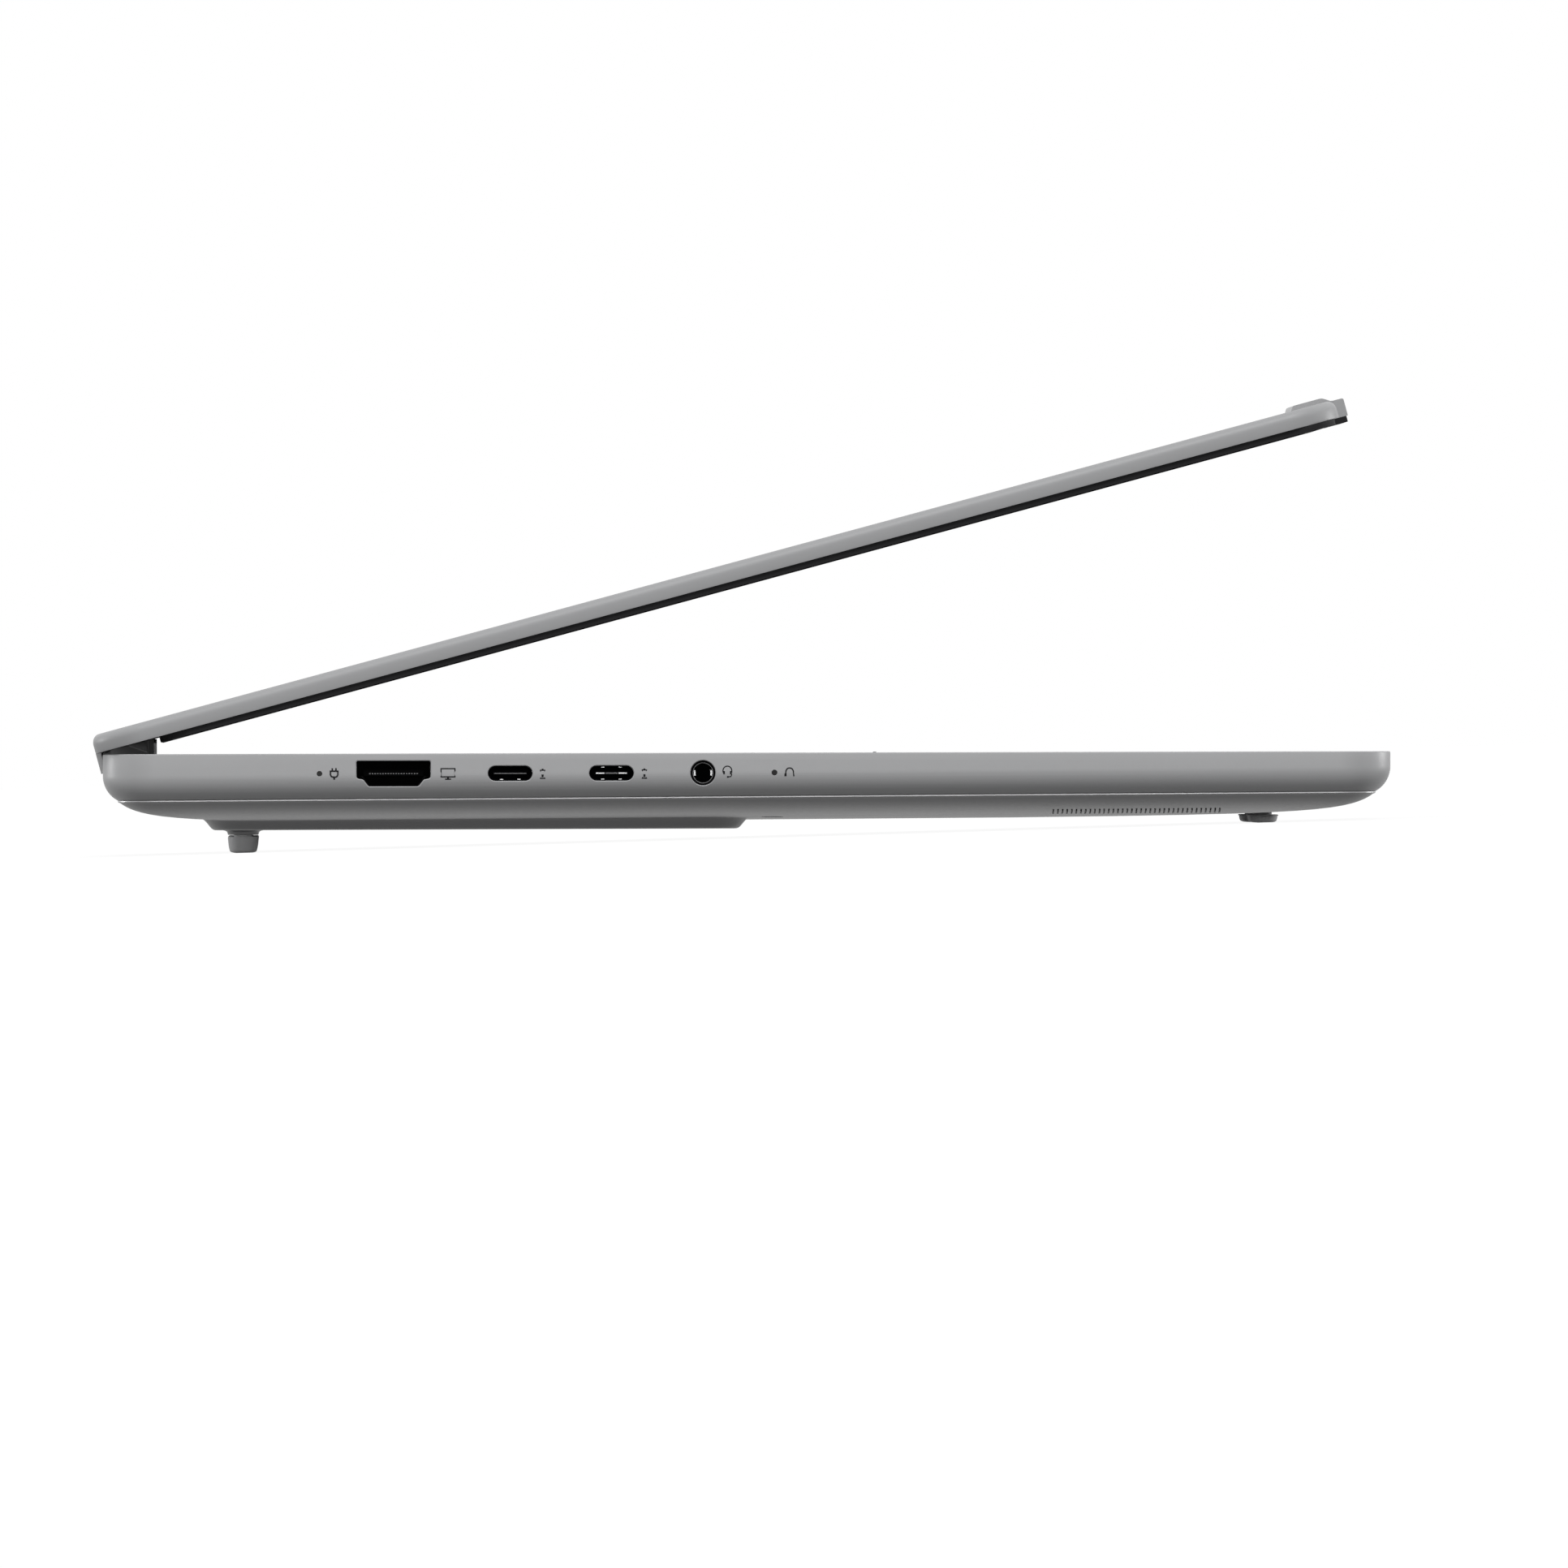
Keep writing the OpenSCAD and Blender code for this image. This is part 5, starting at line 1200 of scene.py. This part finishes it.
def makeHingeBar():
    # the bar has a nose strip along its front, parted from it by a fine groove; it is painted
    # darker than the bar, as painted shade that holds down the front lamp's light on it
    bar = {"nose": 8.95, "front": 11.5, "groove": 0.25, "grooveDepth": 1.2, "grooveLow": 2.6,
           "over": 5.0}
    split = rearY - bar["nose"]
    back = split + bar["groove"]
    end = halfWidth - case["cheek"]
    over = bar["over"]
    noseRoom = boxShape((-halfWidth, rearY - bar["front"], 0), (halfWidth, split, over))
    nose = cadCopy("hingeBarNose", "hinge_bar")
    carve(nose, newObject("noseRoom", noseRoom), operation="INTERSECT")
    finishPiece(nose, "nosePlastic", "base", "grey_plastic", "hinge_bar")
    body = cadCopy("hingeBarBody", "hinge_bar")
    grooves = [noseRoom]
    grooves += [boxShape((x - bar["grooveDepth"], split - 0.1, 0),
                         (x + bar["grooveDepth"], back, over)) for x in (-end, end)]
    grooves.append(boxShape((-end, split - 0.1, bar["grooveLow"]), (end, back, over)))
    for shape in grooves:
        carve(body, newObject("groove", shape))
    finishPiece(body, "greyPlastic", "base", "grey_plastic", "hinge_bar")


makeTouchpad()
makeCoverScrews()
makeHingeBar()
print("touchpad, cover screws and hinge bar made")


def makeScreenFace():
    # dark border on the glass, and the camera's window in it
    face = {
        "glass": 0.75,
        "under": 0.015,
        "over": 0.03,
        "outer": (2.9, 15.1, 3.3, 3.9),      # side, rear, front and corner radius
        "inner": (8.0, 22.0, 9.0, 1.0),
        "camera": 6.0,
        "lens": 1.5,
    }
    low, high = face["glass"] - face["under"], face["glass"] + face["over"]

    def frameRing(side, rear, front, radius, z):
        return roundedRing(case["width"] - 2 * side, case["depth"] - rear - front, radius,
                           (0, (front - rear) / 2, z), 6)

    rings = [frameRing(*face[edge], z) for edge, z in
             (("outer", low), ("outer", high), ("inner", high), ("inner", low))]
    border = newObject("screenBorder", loopSkin(rings), lidPose)
    finishPiece(border, "screenBorder", "lid", "screen")
    y, lens = frontY + face["camera"], face["lens"]
    profile = [(lens + 0.3, 0.02), (lens + 0.25, -0.03), (lens, -0.03), (lens * 0.8, 0.005),
               (0.3, -0.01)]
    rings = [[(px, y + py, low + up) for px, py in roundOutline(r, 32)] for r, up in profile]
    finishPiece(newObject("cameraWindow", skin(rings), lidPose), "screen", "lid", "screen")


makeScreenFace()
print("screen face made")
